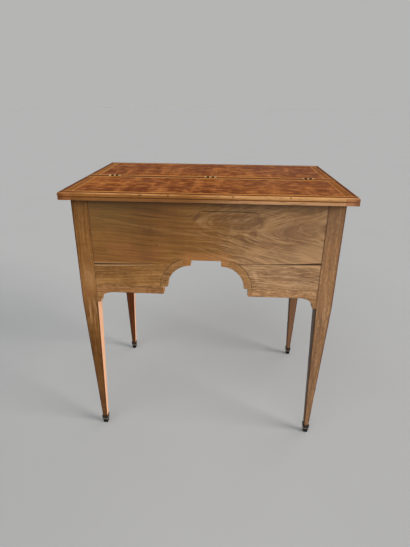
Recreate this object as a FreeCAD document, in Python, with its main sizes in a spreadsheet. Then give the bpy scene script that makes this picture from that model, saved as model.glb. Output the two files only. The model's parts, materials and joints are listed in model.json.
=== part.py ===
import FreeCAD, Part
import os
import Sketcher
from FreeCAD import Rotation, Vector

# Small writing table with a folding top, in millimetres.
# The floor is z = 0, the user sits on the -Y side and the plain plank back faces +Y.
# Left and right are the user's, so left is -X.

sizes = {
    # whole desk
    "deskHeight": 740,
    "topWidth": 712,
    "topDepth": 490,
    "topThick": 19,
    "sideOverhang": 22,
    "rearOverhang": 22,
    "frontOverhang": 12,
    # legs, each with its stile above
    "stileWide": 42,
    "stileDeep": 38,
    "toeWide": 14.5,
    # toe of each leg, from the floor up
    "toeBlockHigh": 14.5,
    "toeBlockTaper": 1.25,
    "ringHigh": 2.5,
    "ringOut": 0.75,
    "ringLip": 1.25,
    "cupHigh": 12,
    "cupFloor": 2,
    "cupWallTop": 2.25,
    "cupWallBottom": 0.75,
    "cupFit": 0.1,
    # boards of the case, which hangs down from the top
    "caseHigh": 253,
    "backThick": 24,
    "frontThick": 22,
    "sideThick": 16,
    "bracketRadius": 28,
    "bracketLip": 1.2,
    "bracketFoot": 9,
    # kneehole outline, the same at the back and the front
    "kneeHalf": 111,
    "stripHigh": 22,
    "footStep": 11,
    "arcRadius": 61,
    "crownStep": 15,
    "bandWide": 20,
    "bandEndOut": 21,
    # sloping joint between the back planks, as heights over the apron's lower edge
    "jointRiseLeft": 96,
    "jointRiseRight": 81,
    "openJoint": 0.8,
    # nail hole in one curved band
    "nailHoleInset": 4.5,
    "nailHoleRise": 39.5,
    "nailHoleRadius": 1.6,
    "nailHoleDeep": 7,
    # inside of the case
    "railHigh": 20,
    "postWide": 27,
    "wallThick": 12,
    "floorThick": 9,
    "friezeHigh": 71,
    "guideHigh": 14,
    "wellBackThick": 18,
    "dividerThick": 8,
    "dividerOut": 12,
    "dividerDrop": 6,
    "liningThick": 1.2,
    # top leaves
    "rearLeafDeep": 228,
    "meetGap": 1,
    "endCapWide": 32.5,
    "mouldRadius": 4,
    "quirkRise": 8.4,
    "quirkHigh": 1.6,
    "quirkDeep": 1.2,
    "inlaySideInset": 30,
    "inlayLongInset": 16,
    "stringWide": 2.5,
    "inlayDeep": 1,
    "leatherSideInset": 70,
    "leatherLongInset": 42,
    "leatherThick": 1,
    # hinges
    "hingeSideInset": 81,
    "knucklePitch": 6.8,
    "knuckleGap": 0.3,
    "barrelRadius": 3.2,
    "barrelRise": 0.8,
    "barrelClear": 0.5,
    "pinRadius": 1.3,
    "pinFit": 0.04,
    "plateThick": 1.6,
    "plateHigh": 13,
    "screwHeadRadius": 2.6,
    "screwRadius": 1.3,
    "screwLong": 12,
    # drawers
    "drawerGap": 1,
    "drawerLift": 0.3,
    "drawerFrontThick": 20,
    "drawerRearGap": 42,
    "drawerSideThick": 10,
    "drawerSideDrop": 2,
    "drawerBottomThick": 7,
    "drawerBottomRise": 6,
    "stopHigh": 4.5,
    "stopDeep": 14,
    "stopWide": 36,
    "stopGap": 0.2,
    "knobPlateRadius": 9.5,
    "knobPlateThick": 2,
    "knobStemRadius": 4,
    "knobStemLong": 10,
    "knobBallRadius": 9,
    "knobBallHalfLong": 6.5,
    "centreKnobInset": 49,
    # reach of cutting tools past what they cut
    "overrun": 4,
}

# knuckles of one hinge, counted from the left, by the leaf that carries them
fixedKnuckles = (0, 2, 4)
movingKnuckles = (1, 3)
knuckleCount = len(fixedKnuckles) + len(movingKnuckles)

doc = FreeCAD.newDocument("WritingDesk")
sheet = doc.addObject("Spreadsheet::Sheet", "Sizes")
for row, (alias, number) in enumerate(sizes.items(), start=1):
    sheet.set(f"A{row}", alias)
    sheet.set(f"B{row}", str(number))
    sheet.setAlias(f"B{row}", alias)
doc.recompute()


class Length:
    """A size or a sum of sizes: its value and the expression that binds it to the sheet."""

    def __init__(self, text, value):
        self.text = text
        self.value = value

    def join(self, sign, other, value):
        return Length(f"({self.text} {sign} {wrap(other).text})", value)

    def __add__(self, other):
        return self.join("+", other, self.value + wrap(other).value)

    def __sub__(self, other):
        return self.join("-", other, self.value - wrap(other).value)

    def __mul__(self, other):
        return self.join("*", other, self.value * wrap(other).value)

    def __truediv__(self, other):
        return self.join("/", other, self.value / wrap(other).value)

    def __neg__(self):
        return Length(f"(-1 * {self.text})", -self.value)


def wrap(item):
    return item if isinstance(item, Length) else Length(repr(item), item)


class Named:
    """Every size of the sheet as an attribute."""

    def __init__(self, table):
        for alias, number in table.items():
            setattr(self, alias, Length(f"Sizes.{alias}", number))


s = Named(sizes)
zero = wrap(0)
pieces = {}


def bind(thing, **props):
    for prop, length in props.items():
        thing.setExpression(prop.replace("_", "."), wrap(length).text)
    return thing


def place(thing, x, y, z):
    return bind(thing, Placement_Base_x=x, Placement_Base_y=y, Placement_Base_z=z)


def box(name, x, y, z):
    """A board between two places on each axis."""
    board = doc.addObject("Part::Box", name)
    bind(board, Length=x[1] - x[0], Width=y[1] - y[0], Height=z[1] - z[0])
    return place(board, x[0], y[0], z[0])


def rod(name, axis, radius, start, length):
    """A cylinder from start, along X, Y, -Y or Z."""
    turns = {
        "X": Rotation(Vector(0, 1, 0), 90),
        "Y": Rotation(Vector(1, 0, 0), -90),
        "-Y": Rotation(Vector(1, 0, 0), 90),
        "Z": Rotation(),
    }
    cylinder = doc.addObject("Part::Cylinder", name)
    cylinder.Placement.Rotation = turns[axis]
    bind(cylinder, Radius=radius, Height=length)
    return place(cylinder, *start)


def taper(name, x, y, zLow, zHigh, lowWide, lowDeep, highWide, highDeep):
    """An upright square taper about an axis at x, y."""
    wedge = doc.addObject("Part::Wedge", name)
    wedge.Placement.Rotation = Rotation(Vector(1, 0, 0), 90)
    bind(wedge, Ymin=zero, Ymax=zHigh - zLow)
    bind(wedge, Xmin=-lowWide / 2, Xmax=lowWide / 2, Zmin=-lowDeep / 2, Zmax=lowDeep / 2)
    bind(wedge, X2min=-highWide / 2, X2max=highWide / 2, Z2min=-highDeep / 2, Z2max=highDeep / 2)
    return place(wedge, x, y, zLow)


def join(kind, name, members):
    thing = doc.addObject(kind, name)
    if kind == "Part::Compound":
        thing.Links = members
    else:
        thing.Shapes = members
        thing.Refine = True
    return thing


def fuse(name, *members):
    return join("Part::MultiFuse", name, list(members))


def common(name, *members):
    return join("Part::MultiCommon", name, list(members))


def group(name, *members):
    return join("Part::Compound", name, list(members))


def cut(name, base, tool):
    thing = doc.addObject("Part::Cut", name)
    thing.Base = base
    thing.Tool = tool
    thing.Refine = True
    return thing


def piece(thing, label):
    thing.Label = label
    pieces[label] = thing
    return thing


def span(side, near, far):
    """From near to far off the middle plane, on the right (1) or the left (-1)."""
    return (near, far) if side > 0 else (-far, -near)


def offset(side, distance):
    return distance if side > 0 else -distance


sides = {"left": -1, "right": 1}

# places that the pieces share
topBottom = s.deskHeight - s.topThick
apronBottom = topBottom - s.caseHigh
caseHalf = s.topWidth / 2 - s.sideOverhang
caseBack = s.topDepth / 2 - s.rearOverhang
caseFront = -(s.topDepth / 2 - s.frontOverhang)
stileIn = caseHalf - s.stileWide
rearStileIn = caseBack - s.stileDeep
frontStileIn = caseFront + s.stileDeep
backIn = caseBack - s.backThick
frontIn = caseFront + s.frontThick
sideIn = caseHalf - s.sideThick
bracketWide = s.bracketRadius + s.bracketFoot
taperTop = apronBottom - s.bracketRadius - s.bracketLip
stripTop = apronBottom + s.stripHigh
kneeFlatHalf = s.kneeHalf - s.footStep - s.arcRadius
kneeFlat = stripTop + s.arcRadius + s.crownStep
bandEndHalf = kneeFlatHalf + s.bandEndOut
centreRailTop = kneeFlat + s.railHigh
friezeBottom = topBottom - s.friezeHigh
wellFloorTop = friezeBottom + s.floorThick
postOut = s.kneeHalf + s.postWide
wallIn = postOut - s.wallThick
splitY = s.topDepth / 2 - s.rearLeafDeep
rearLeafFront = splitY + s.meetGap / 2
flapRear = splitY - s.meetGap / 2
legRow = {"front": caseFront + s.stileDeep / 2, "rear": caseBack - s.stileDeep / 2}
legColumn = caseHalf - s.stileWide / 2


# Legs and toes

cupTopWide = s.toeWide + s.cupWallTop * 2
cupBottomWide = s.toeWide + s.cupWallBottom * 2
ringWide = cupBottomWide + s.ringOut * 2
blockTopWide = ringWide - s.ringLip * 2
blockBottomWide = blockTopWide - s.toeBlockTaper * 2
ringTop = s.toeBlockHigh + s.ringHigh
toeBottom = ringTop + s.cupFloor
cupTop = ringTop + s.cupHigh
blocks = []
rings = []
cups = []
stiles = []
for end, y in legRow.items():
    for hand, side in sides.items():
        at = f"{end}_{hand}"
        x = offset(side, legColumn)
        halfWide = s.stileWide / 2
        halfDeep = s.stileDeep / 2
        stile = box(f"stile_{at}", (x - halfWide, x + halfWide), (y - halfDeep, y + halfDeep),
                    (taperTop, topBottom))
        stiles.append(stile)
        shin = taper(f"shin_{at}", x, y, cupTop, taperTop, s.toeWide, s.toeWide, s.stileWide, s.stileDeep)
        halfToe = s.toeWide / 2
        toe = box(f"toe_{at}", (x - halfToe, x + halfToe), (y - halfToe, y + halfToe), (toeBottom, cupTop))
        piece(fuse(f"leg_{at}", stile, shin, toe), f"leg_{at}")

        blocks.append(taper(f"block_{at}", x, y, zero, s.toeBlockHigh,
                            blockBottomWide, blockBottomWide, blockTopWide, blockTopWide))
        halfRing = ringWide / 2
        rings.append(box(f"ring_{at}", (x - halfRing, x + halfRing), (y - halfRing, y + halfRing),
                         (s.toeBlockHigh, ringTop)))
        cupBody = taper(f"cup_body_{at}", x, y, ringTop, cupTop,
                        cupBottomWide, cupBottomWide, cupTopWide, cupTopWide)
        halfSocket = halfToe + s.cupFit
        socket = box(f"socket_{at}", (x - halfSocket, x + halfSocket), (y - halfSocket, y + halfSocket),
                     (toeBottom, cupTop + s.overrun))
        cups.append(cut(f"cup_{at}", cupBody, socket))
piece(group("toe_blocks", *blocks), "toe_blocks")
piece(group("ferrule_rings", *rings), "ferrule_rings")
piece(group("toe_ferrules", *cups), "toe_ferrules")
stileTools = group("stile_tools", *stiles)


# Kneehole outline as one tool that runs from front to back

kneeDeep = (caseFront - s.overrun, caseBack + s.overrun)
kneeLow = apronBottom - s.overrun
kneeTools = [
    box("knee_foot", (-s.kneeHalf, s.kneeHalf), kneeDeep, (kneeLow, stripTop)),
    box("knee_middle", (-kneeFlatHalf, kneeFlatHalf), kneeDeep, (kneeLow, kneeFlat)),
]
for hand, side in sides.items():
    kneeTools.append(rod(f"knee_arc_{hand}", "Y", s.arcRadius,
                         (offset(side, kneeFlatHalf), kneeDeep[0], stripTop), kneeDeep[1] - kneeDeep[0]))
kneeTool = fuse("knee_tool", *kneeTools)


# Back of sawn planks, flush with the stiles

backSpan = (backIn, caseBack)
bandTools = []
for hand, side in sides.items():
    centre = offset(side, kneeFlatHalf)
    reach = kneeFlatHalf + s.arcRadius + s.bandWide + s.overrun
    bandTop = stripTop + s.arcRadius + s.bandWide + s.overrun
    outer = s.arcRadius + s.bandWide
    wholeDisc = rod(f"band_disc_{hand}", "Y", outer, (centre, backIn, stripTop), s.backThick)
    field = box(f"band_field_{hand}", span(side, bandEndHalf, reach), backSpan, (stripTop, bandTop))
    bandTools.append(common(f"band_tool_{hand}", wholeDisc, field))
    disc = rod(f"band_blank_{hand}", "Y", outer - s.openJoint, (centre, backIn, stripTop), s.backThick)
    band = cut(f"band_{hand}", common(f"band_solid_{hand}", disc, field), kneeTool)
    if side > 0:
        hole = rod("nail_hole", "-Y", s.nailHoleRadius,
                   (s.kneeHalf - s.nailHoleInset, caseBack + s.overrun, apronBottom + s.nailHoleRise),
                   s.nailHoleDeep + s.overrun)
        band = cut(f"band_holed_{hand}", band, hole)
    piece(band, f"back_arch_band_{hand}")
backTool = fuse("back_tool", kneeTool, *bandTools)


def aboveJoint(name, drop):
    """Everything over the sloping joint, or over a line a little lower."""
    slope = (s.jointRiseLeft - s.jointRiseRight) / (stileIn * 2)
    start = apronBottom + s.jointRiseLeft + slope * s.stileWide - drop
    region = doc.addObject("Part::Box", name)
    # any small turn sets the axis, and the slope then sets the angle
    region.Placement.Rotation = Rotation(Vector(0, 1, 0), 1)
    bind(region, Length=caseHalf * 2 + s.stileWide, Width=s.backThick, Height=topBottom)
    region.setExpression("Placement.Rotation.Angle", f"atan({slope.text})")
    return place(region, -caseHalf, backIn, start)


upperBoard = box("upper_board", (-stileIn, stileIn), backSpan, (stripTop, topBottom))
upperField = common("upper_field", upperBoard, aboveJoint("above_joint", zero))
crownField = box("crown_field", (-bandEndHalf, bandEndHalf), backSpan,
                 (stripTop, apronBottom + s.jointRiseLeft))
piece(cut("back_upper", fuse("upper_blank", upperField, crownField), backTool), "back_upper_plank")
strips = []
for hand, side in sides.items():
    lowerBoard = box(f"lower_board_{hand}", span(side, bandEndHalf, stileIn), backSpan,
                     (stripTop, apronBottom + s.jointRiseLeft))
    lowerField = cut(f"lower_field_{hand}", lowerBoard, aboveJoint(f"over_lower_{hand}", s.openJoint))
    piece(cut(f"back_lower_{hand}", lowerField, backTool), f"back_lower_plank_{hand}")
    strips.append(box(f"strip_{hand}", span(side, s.kneeHalf, stileIn), backSpan, (apronBottom, stripTop)))
piece(group("back_strips", *strips), "back_bottom_strips")


# Quarter-round brackets under the aprons, two on each face

brackets = []
bracketZ = (taperTop, apronBottom)
for hand, side in sides.items():
    tip = offset(side, stileIn - bracketWide)
    for end, y in {"rear": backSpan, "front": (caseFront, frontIn)}.items():
        blank = box(f"bracket_blank_{end}_{hand}", span(side, stileIn - bracketWide, stileIn), y, bracketZ)
        scoop = rod(f"bracket_scoop_{end}_{hand}", "Y", s.bracketRadius, (tip, y[0], taperTop), y[1] - y[0])
        brackets.append(cut(f"bracket_{end}_{hand}", blank, scoop))
    sideSpan = span(side, sideIn, caseHalf)
    for end, y, tipY in (("near", (frontStileIn, frontStileIn + bracketWide), frontStileIn + bracketWide),
                         ("far", (rearStileIn - bracketWide, rearStileIn), rearStileIn - bracketWide)):
        blank = box(f"bracket_side_blank_{end}_{hand}", sideSpan, y, bracketZ)
        scoop = rod(f"bracket_side_scoop_{end}_{hand}", "X", s.bracketRadius, (sideSpan[0], tipY, taperTop),
                    s.sideThick)
        brackets.append(cut(f"bracket_side_{end}_{hand}", blank, scoop))
piece(group("brackets", *brackets), "corner_brackets")


# Sides and front frame

frontSpan = (caseFront, frontIn)
posts = []
rails = []
arches = []
for hand, side in sides.items():
    panel = box(f"side_{hand}", span(side, sideIn, caseHalf), (frontStileIn, rearStileIn),
                (apronBottom, topBottom))
    piece(panel, f"side_panel_{hand}")
    posts.append(box(f"post_{hand}", span(side, s.kneeHalf, postOut), frontSpan,
                     (apronBottom, friezeBottom)))
    rails.append(box(f"rail_{hand}", span(side, postOut, stileIn), frontSpan, (apronBottom, stripTop)))
    archBlank = box(f"arch_blank_{hand}", span(side, kneeFlatHalf, s.kneeHalf), frontSpan,
                    (stripTop, kneeFlat))
    arches.append(cut(f"arch_{hand}", archBlank, kneeTool))
piece(group("posts", *posts), "front_posts")
piece(group("rails", *rails), "front_bottom_rails")
piece(group("arches", *arches), "front_arch_brackets")
centreRail = box("centre_rail", (-s.kneeHalf, s.kneeHalf), frontSpan, (kneeFlat, centreRailTop))
piece(centreRail, "front_centre_rail")
frieze = box("frieze", (-stileIn, stileIn), frontSpan, (friezeBottom, topBottom))
piece(frieze, "front_frieze")


# Inside of the case

insideSpan = (frontIn, backIn)
walls = []
bottoms = []
guides = []
dividers = []
stops = []
stopFront = caseFront + s.drawerFrontThick + s.stopGap
stopSpan = (stopFront, stopFront + s.stopDeep)
wellSpan = (frontIn, rearLeafFront)
dividerOuter = postOut + s.dividerOut
liningHalf = dividerOuter - s.dividerThick
for hand, side in sides.items():
    walls.append(box(f"wall_{hand}", span(side, wallIn, postOut), insideSpan, (apronBottom, friezeBottom)))
    bottomBlank = box(f"bottom_blank_{hand}", span(side, postOut, sideIn), insideSpan,
                      (stripTop - s.floorThick, stripTop))
    bottoms.append(cut(f"bottom_{hand}", bottomBlank, stileTools))
    guides.append(box(f"guide_out_{hand}", span(side, stileIn, sideIn), (frontStileIn, rearStileIn),
                      (stripTop, stripTop + s.guideHigh)))
    guides.append(box(f"guide_in_{hand}", span(side, s.kneeHalf, wallIn), insideSpan,
                      (centreRailTop, centreRailTop + s.guideHigh)))
    stopMiddle = offset(side, (postOut + stileIn) / 2)
    stops.append(box(f"stop_{hand}", (stopMiddle - s.stopWide / 2, stopMiddle + s.stopWide / 2), stopSpan,
                     (stripTop, stripTop + s.stopHigh)))
    dividers.append(box(f"divider_{hand}", span(side, liningHalf, dividerOuter), wellSpan,
                        (wellFloorTop, topBottom - s.dividerDrop)))
piece(group("walls", *walls), "kneehole_walls")
piece(group("bottoms", *bottoms), "pedestal_bottoms")
piece(group("guides", *guides), "drawer_guides")
piece(group("dividers", *dividers), "well_dividers")
stops.append(box("stop_centre", (-s.stopWide / 2, s.stopWide / 2), stopSpan,
                 (centreRailTop, centreRailTop + s.stopHigh)))
piece(group("stops", *stops), "drawer_stops")
soffit = box("soffit", (-wallIn, wallIn), insideSpan, (centreRailTop - s.floorThick, centreRailTop))
piece(soffit, "kneehole_soffit")
floorBlank = box("floor_blank", (-sideIn, sideIn), insideSpan, (friezeBottom, wellFloorTop))
piece(cut("floor", floorBlank, stileTools), "well_floor")
wellRail = box("well_rail", (-sideIn, sideIn), (rearLeafFront, rearLeafFront + s.wellBackThick),
               (wellFloorTop, topBottom))
piece(wellRail, "well_back")
lining = box("lining", (-liningHalf, liningHalf), wellSpan, (wellFloorTop, wellFloorTop + s.liningThick))
piece(lining, "well_lining")


# Moulded blank of the whole top: two profiles, one along each axis, and what they share

def plane(body, role):
    for feature in body.Origin.OriginFeatures:
        if feature.Role == role:
            return feature


def mouldedPad(name, planeRole, half, padLength):
    """A pad whose section has a round upper arris and a quirk on both edges."""
    body = doc.addObject("PartDesign::Body", name)
    sketch = body.newObject("Sketcher::SketchObject", f"{name}_section")
    sketch.AttachmentSupport = [(plane(body, planeRole), "")]
    sketch.MapMode = "FlatFace"
    quirkMid = topBottom + s.quirkRise
    edge = [
        (half, topBottom),
        (half, quirkMid - s.quirkHigh / 2),
        (half - s.quirkDeep, quirkMid),
        (half, quirkMid + s.quirkHigh / 2),
        (half, s.deskHeight - s.mouldRadius),
        (half - s.mouldRadius, s.deskHeight),
    ]
    corners = edge + [(-x, z) for x, z in reversed(edge)]
    # the arris arcs follow the fifth and the seventh corner
    arcs = {len(edge) - 2: 1, len(edge): -1}
    lines = []
    for index, (x, z) in enumerate(corners):
        nextX, nextZ = corners[(index + 1) % len(corners)]
        start = Vector(x.value, z.value, 0)
        end = Vector(nextX.value, nextZ.value, 0)
        if index in arcs:
            radius = s.mouldRadius.value
            hub = Vector(arcs[index] * (half - s.mouldRadius).value, (s.deskHeight - s.mouldRadius).value, 0)
            middle = hub + Vector(arcs[index], 1, 0).normalize() * radius
            lines.append(sketch.addGeometry(Part.Arc(start, middle, end)))
        else:
            lines.append(sketch.addGeometry(Part.LineSegment(start, end)))
    # in a constraint, point 1 of a line is its start and 2 its end, and line -1 holds the origin
    for index, (x, z) in enumerate(corners):
        sketch.addConstraint(Sketcher.Constraint("Coincident", lines[index - 1], 2, lines[index], 1))
        for kind, length in (("DistanceX", x), ("DistanceY", z)):
            number = sketch.addConstraint(Sketcher.Constraint(kind, -1, 1, lines[index], 1, length.value))
            sketch.setExpression(f"Constraints[{number}]", length.text)
    for index in arcs:
        number = sketch.addConstraint(Sketcher.Constraint("Radius", lines[index], s.mouldRadius.value))
        sketch.setExpression(f"Constraints[{number}]", s.mouldRadius.text)
    doc.recompute()
    pad = body.newObject("PartDesign::Pad", f"{name}_pad")
    pad.Profile = sketch
    pad.Midplane = True
    bind(pad, Length=padLength)
    body.Tip = pad
    return body


alongDepth = mouldedPad("section_across", "XZ_Plane", s.topWidth / 2, s.topDepth)
alongWidth = mouldedPad("section_along", "YZ_Plane", s.topDepth / 2, s.topWidth)
topBlank = common("top_blank", alongDepth, alongWidth)


# Hinges, folded shut at rest, with the barrels on the line of the split

pivotZ = s.deskHeight + s.barrelRise
plateTop = pivotZ - s.barrelRadius - s.barrelClear
plateBottom = plateTop - s.plateHigh
hingeLong = s.knucklePitch * knuckleCount
hingeOut = s.topWidth / 2 - s.hingeSideInset
hingePlaces = {"left": -hingeOut, "centre": zero, "right": hingeOut}
hingeSides = {
    "fixed": (1, rearLeafFront, fixedKnuckles),
    "moving": (-1, flapRear, movingKnuckles),
}
plates = {"fixed": [], "moving": []}
screws = {"fixed": [], "moving": []}
seats = {"fixed": [], "moving": []}
pins = []
for station, middle in hingePlaces.items():
    low = middle - hingeLong / 2
    high = middle + hingeLong / 2
    pins.append(rod(f"pin_{station}", "X", s.pinRadius, (low, splitY, pivotZ), hingeLong))
    bore = rod(f"bore_{station}", "X", s.pinRadius + s.pinFit, (low - s.overrun, splitY, pivotZ),
               hingeLong + s.overrun * 2)
    recess = rod(f"barrel_recess_{station}", "X", s.barrelRadius + s.barrelClear,
                 (low - s.knuckleGap, splitY, pivotZ), hingeLong + s.knuckleGap * 2)
    for part, (side, face, knuckles) in hingeSides.items():
        at = f"{part}_{station}"
        deep = (face, face + s.plateThick) if side > 0 else (face - s.plateThick, face)
        members = [box(f"plate_{at}", (low, high), deep, (plateBottom, plateTop))]
        for number in knuckles:
            near = low + s.knucklePitch * number + s.knuckleGap / 2
            far = low + s.knucklePitch * (number + 1) - s.knuckleGap / 2
            members.append(box(f"neck_{number}_{at}", (near, far), deep, (plateTop, pivotZ)))
            members.append(rod(f"knuckle_{number}_{at}", "X", s.barrelRadius, (near, splitY, pivotZ),
                               far - near))
        own = []
        for end, shift in (("a", -1), ("b", 1)):
            x = middle + hingeLong / 4 * shift
            z = (plateTop + plateBottom) / 2
            direction = "Y" if side > 0 else "-Y"
            shank = rod(f"shank_{end}_{at}", direction, s.screwRadius, (x, face, z), s.screwLong)
            head = doc.addObject("Part::Cone", f"head_{end}_{at}")
            head.Placement.Rotation = Rotation(Vector(1, 0, 0), -90 * side)
            bind(head, Radius1=s.screwHeadRadius, Radius2=s.screwRadius, Height=s.plateThick)
            place(head, x, face, z)
            own.append(fuse(f"screw_{end}_{at}", shank, head))
        screws[part] += own
        blank = fuse(f"hinge_blank_{at}", *members)
        tools = group(f"hinge_holes_{at}", bore, *own)
        plates[part].append(cut(f"hinge_leaf_{at}", blank, tools))
        seats[part].append(box(f"plate_seat_{at}", (low, high), deep,
                               (plateBottom, s.deskHeight + s.overrun)))
        seats[part].append(recess)
piece(group("pins", *pins), "hinge_pins")
for part in hingeSides:
    piece(group(f"hinge_leaves_{part}", *plates[part]), f"hinge_{part}_leaves")
    piece(group(f"hinge_screws_{part}", *screws[part]), f"hinge_{part}_screws")


# Two leaves of the top: a board between two end caps, a field of veneer and its stringing

capIn = s.topWidth / 2 - s.endCapWide
halfTop = s.topWidth / 2
leafZ = (topBottom, s.deskHeight)
inlayX = s.topWidth / 2 - s.inlaySideInset
fieldX = inlayX - s.stringWide
inlayZ = (s.deskHeight - s.inlayDeep, s.deskHeight)
recessZ = (s.deskHeight - s.inlayDeep, s.deskHeight + s.overrun)
leafSpans = {
    "rear_leaf": ("fixed", (rearLeafFront, s.topDepth / 2)),
    "flap": ("moving", (-s.topDepth / 2, flapRear)),
}
for leaf, (part, deep) in leafSpans.items():
    inlayY = (deep[0] + s.inlayLongInset, deep[1] - s.inlayLongInset)
    fieldY = (inlayY[0] + s.stringWide, inlayY[1] - s.stringWide)
    inlayRecess = box(f"{leaf}_recess", (-inlayX, inlayX), inlayY, recessZ)
    hingeTools = fuse(f"{leaf}_hinge_tools", *seats[part], *screws[part])
    tools = [inlayRecess, hingeTools]
    if leaf == "flap":
        leatherX = halfTop - s.leatherSideInset
        leatherY = (deep[0] + s.leatherLongInset, deep[1] - s.leatherLongInset)
        leatherZ = (topBottom, topBottom + s.leatherThick)
        piece(box("leather", (-leatherX, leatherX), leatherY, leatherZ), "flap_leather")
        tools.append(box("leather_recess", (-leatherX, leatherX), leatherY,
                         (topBottom - s.overrun, leatherZ[1])))
    boardBox = box(f"{leaf}_board_box", (-capIn, capIn), deep, leafZ)
    boardBlank = common(f"{leaf}_board_blank", topBlank, boardBox)
    piece(cut(f"{leaf}_board_cut", boardBlank, group(f"{leaf}_tools", *tools)), f"{leaf}_board")
    caps = []
    for hand, side in sides.items():
        capBlank = common(f"{leaf}_cap_blank_{hand}", topBlank,
                          box(f"{leaf}_cap_box_{hand}", span(side, capIn, halfTop), deep, leafZ))
        caps.append(cut(f"{leaf}_cap_{hand}", capBlank, inlayRecess))
    piece(group(f"{leaf}_caps", *caps), f"{leaf}_end_caps")
    inlayOuter = box(f"{leaf}_string_outer", (-inlayX, inlayX), inlayY, inlayZ)
    inlayInner = box(f"{leaf}_string_inner", (-fieldX, fieldX), fieldY, recessZ)
    piece(cut(f"{leaf}_string", inlayOuter, inlayInner), f"{leaf}_stringing")
    piece(box(f"{leaf}_field", (-fieldX, fieldX), fieldY, inlayZ), f"{leaf}_veneer")


# Drawers: a front, two sides, a back and a bottom, with turned knobs

def knob(name, x, z):
    """A turned knob that stands off the front face towards the user."""
    backPlate = rod(f"{name}_plate", "-Y", s.knobPlateRadius, (x, caseFront, z), s.knobPlateThick)
    stem = rod(f"{name}_stem", "-Y", s.knobStemRadius, (x, caseFront, z), s.knobStemLong)
    ball = doc.addObject("Part::Ellipsoid", f"{name}_ball")
    ball.Placement.Rotation = Rotation(Vector(1, 0, 0), 90)
    bind(ball, Radius1=s.knobBallHalfLong, Radius2=s.knobBallRadius, Radius3=s.knobBallRadius)
    place(ball, x, caseFront - s.knobStemLong - s.knobBallHalfLong / 2, z)
    return fuse(name, backPlate, stem, ball)


def drawer(name, x, z, knobPlaces):
    """A drawer that fills the opening between x and z, less its clearances."""
    left = x[0] + s.drawerGap
    right = x[1] - s.drawerGap
    low = z[0] + s.drawerLift
    high = z[1] - s.drawerGap
    frontBack = caseFront + s.drawerFrontThick
    rear = backIn - s.drawerRearGap
    piece(box(f"{name}_face", (left, right), (caseFront, frontBack), (low, high)), f"{name}_front")
    sideHigh = high - s.drawerSideDrop
    between = (left + s.drawerSideThick, right - s.drawerSideThick)
    leftSide = box(f"{name}_side_left", (left, between[0]), (frontBack, rear), (low, sideHigh))
    rightSide = box(f"{name}_side_right", (between[1], right), (frontBack, rear), (low, sideHigh))
    piece(group(f"{name}_pair", leftSide, rightSide), f"{name}_sides")
    bottomZ = (low + s.drawerBottomRise, low + s.drawerBottomRise + s.drawerBottomThick)
    rearIn = rear - s.drawerSideThick
    piece(box(f"{name}_tail", between, (rearIn, rear), (bottomZ[1], sideHigh)), f"{name}_back")
    piece(box(f"{name}_base", between, (frontBack, rear), bottomZ), f"{name}_bottom")
    middleZ = (low + high) / 2
    knobs = [knob(f"{name}_turned_{number}", knobX, middleZ) for number, knobX in enumerate(knobPlaces)]
    if len(knobs) == 1:
        piece(knobs[0], f"{name}_knob")
    else:
        piece(group(f"{name}_turned", *knobs), f"{name}_knobs")


for hand, side in sides.items():
    opening = span(side, postOut, stileIn)
    drawer(f"drawer_{hand}", opening, (stripTop, friezeBottom), [(opening[0] + opening[1]) / 2])
centreKnobOut = s.kneeHalf - s.centreKnobInset
drawer("drawer_centre", (-s.kneeHalf, s.kneeHalf), (centreRailTop, friezeBottom),
       [-centreKnobOut, centreKnobOut])


# Recompute, look for faults, write each sub-part

doc.recompute()
faults = []
for thing in doc.Objects:
    if "Invalid" in thing.State or "Error" in thing.State:
        faults.append(f"{thing.Name} {thing.State}")
for label, thing in pieces.items():
    if thing.Shape.isNull() or not thing.Shape.isValid() or not thing.Shape.Solids:
        faults.append(f"{label} has no valid solid")
if faults:
    raise RuntimeError("; ".join(faults))
os.makedirs("parts", exist_ok=True)
for label, thing in pieces.items():
    thing.Shape.exportStep(f"parts/{label}.step")
    bounds = thing.Shape.BoundBox
    print(f"{label:28s} {len(thing.Shape.Solids):2d} solids {thing.Shape.Volume / 1000:9.2f} cm3"
          f"  x {bounds.XMin:7.1f} {bounds.XMax:7.1f}  y {bounds.YMin:7.1f} {bounds.YMax:7.1f}"
          f"  z {bounds.ZMin:6.1f} {bounds.ZMax:6.1f}")
print(len(pieces), "sub-parts written")
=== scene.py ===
import json
import math

import bmesh
import bpy
from mathutils import Euler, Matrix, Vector


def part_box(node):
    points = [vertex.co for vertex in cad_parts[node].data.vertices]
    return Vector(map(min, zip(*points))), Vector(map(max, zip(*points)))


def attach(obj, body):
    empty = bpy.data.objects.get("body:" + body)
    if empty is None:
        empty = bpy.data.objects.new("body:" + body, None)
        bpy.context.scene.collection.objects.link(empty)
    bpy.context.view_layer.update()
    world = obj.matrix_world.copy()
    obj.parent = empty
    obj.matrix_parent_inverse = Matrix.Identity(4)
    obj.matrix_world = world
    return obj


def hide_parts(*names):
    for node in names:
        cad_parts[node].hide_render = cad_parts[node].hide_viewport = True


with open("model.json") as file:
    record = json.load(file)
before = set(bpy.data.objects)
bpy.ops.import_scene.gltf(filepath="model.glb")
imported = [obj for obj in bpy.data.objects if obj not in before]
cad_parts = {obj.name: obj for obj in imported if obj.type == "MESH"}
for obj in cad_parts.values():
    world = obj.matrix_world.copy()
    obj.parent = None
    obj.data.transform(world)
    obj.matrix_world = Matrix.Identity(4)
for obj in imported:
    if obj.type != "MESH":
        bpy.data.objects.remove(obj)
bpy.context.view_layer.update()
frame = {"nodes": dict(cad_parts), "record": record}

nodes = frame["nodes"]
print("frame loaded,", len(nodes), "nodes")


# Colours are written as they look on a screen, 0 to 255

def tone(red, green, blue):
    def linear(part):
        share = part / 255
        return share / 12.92 if share <= 0.04045 else ((share + 0.055) / 1.055) ** 2.4
    return (linear(red), linear(green), linear(blue), 1.0)


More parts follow.
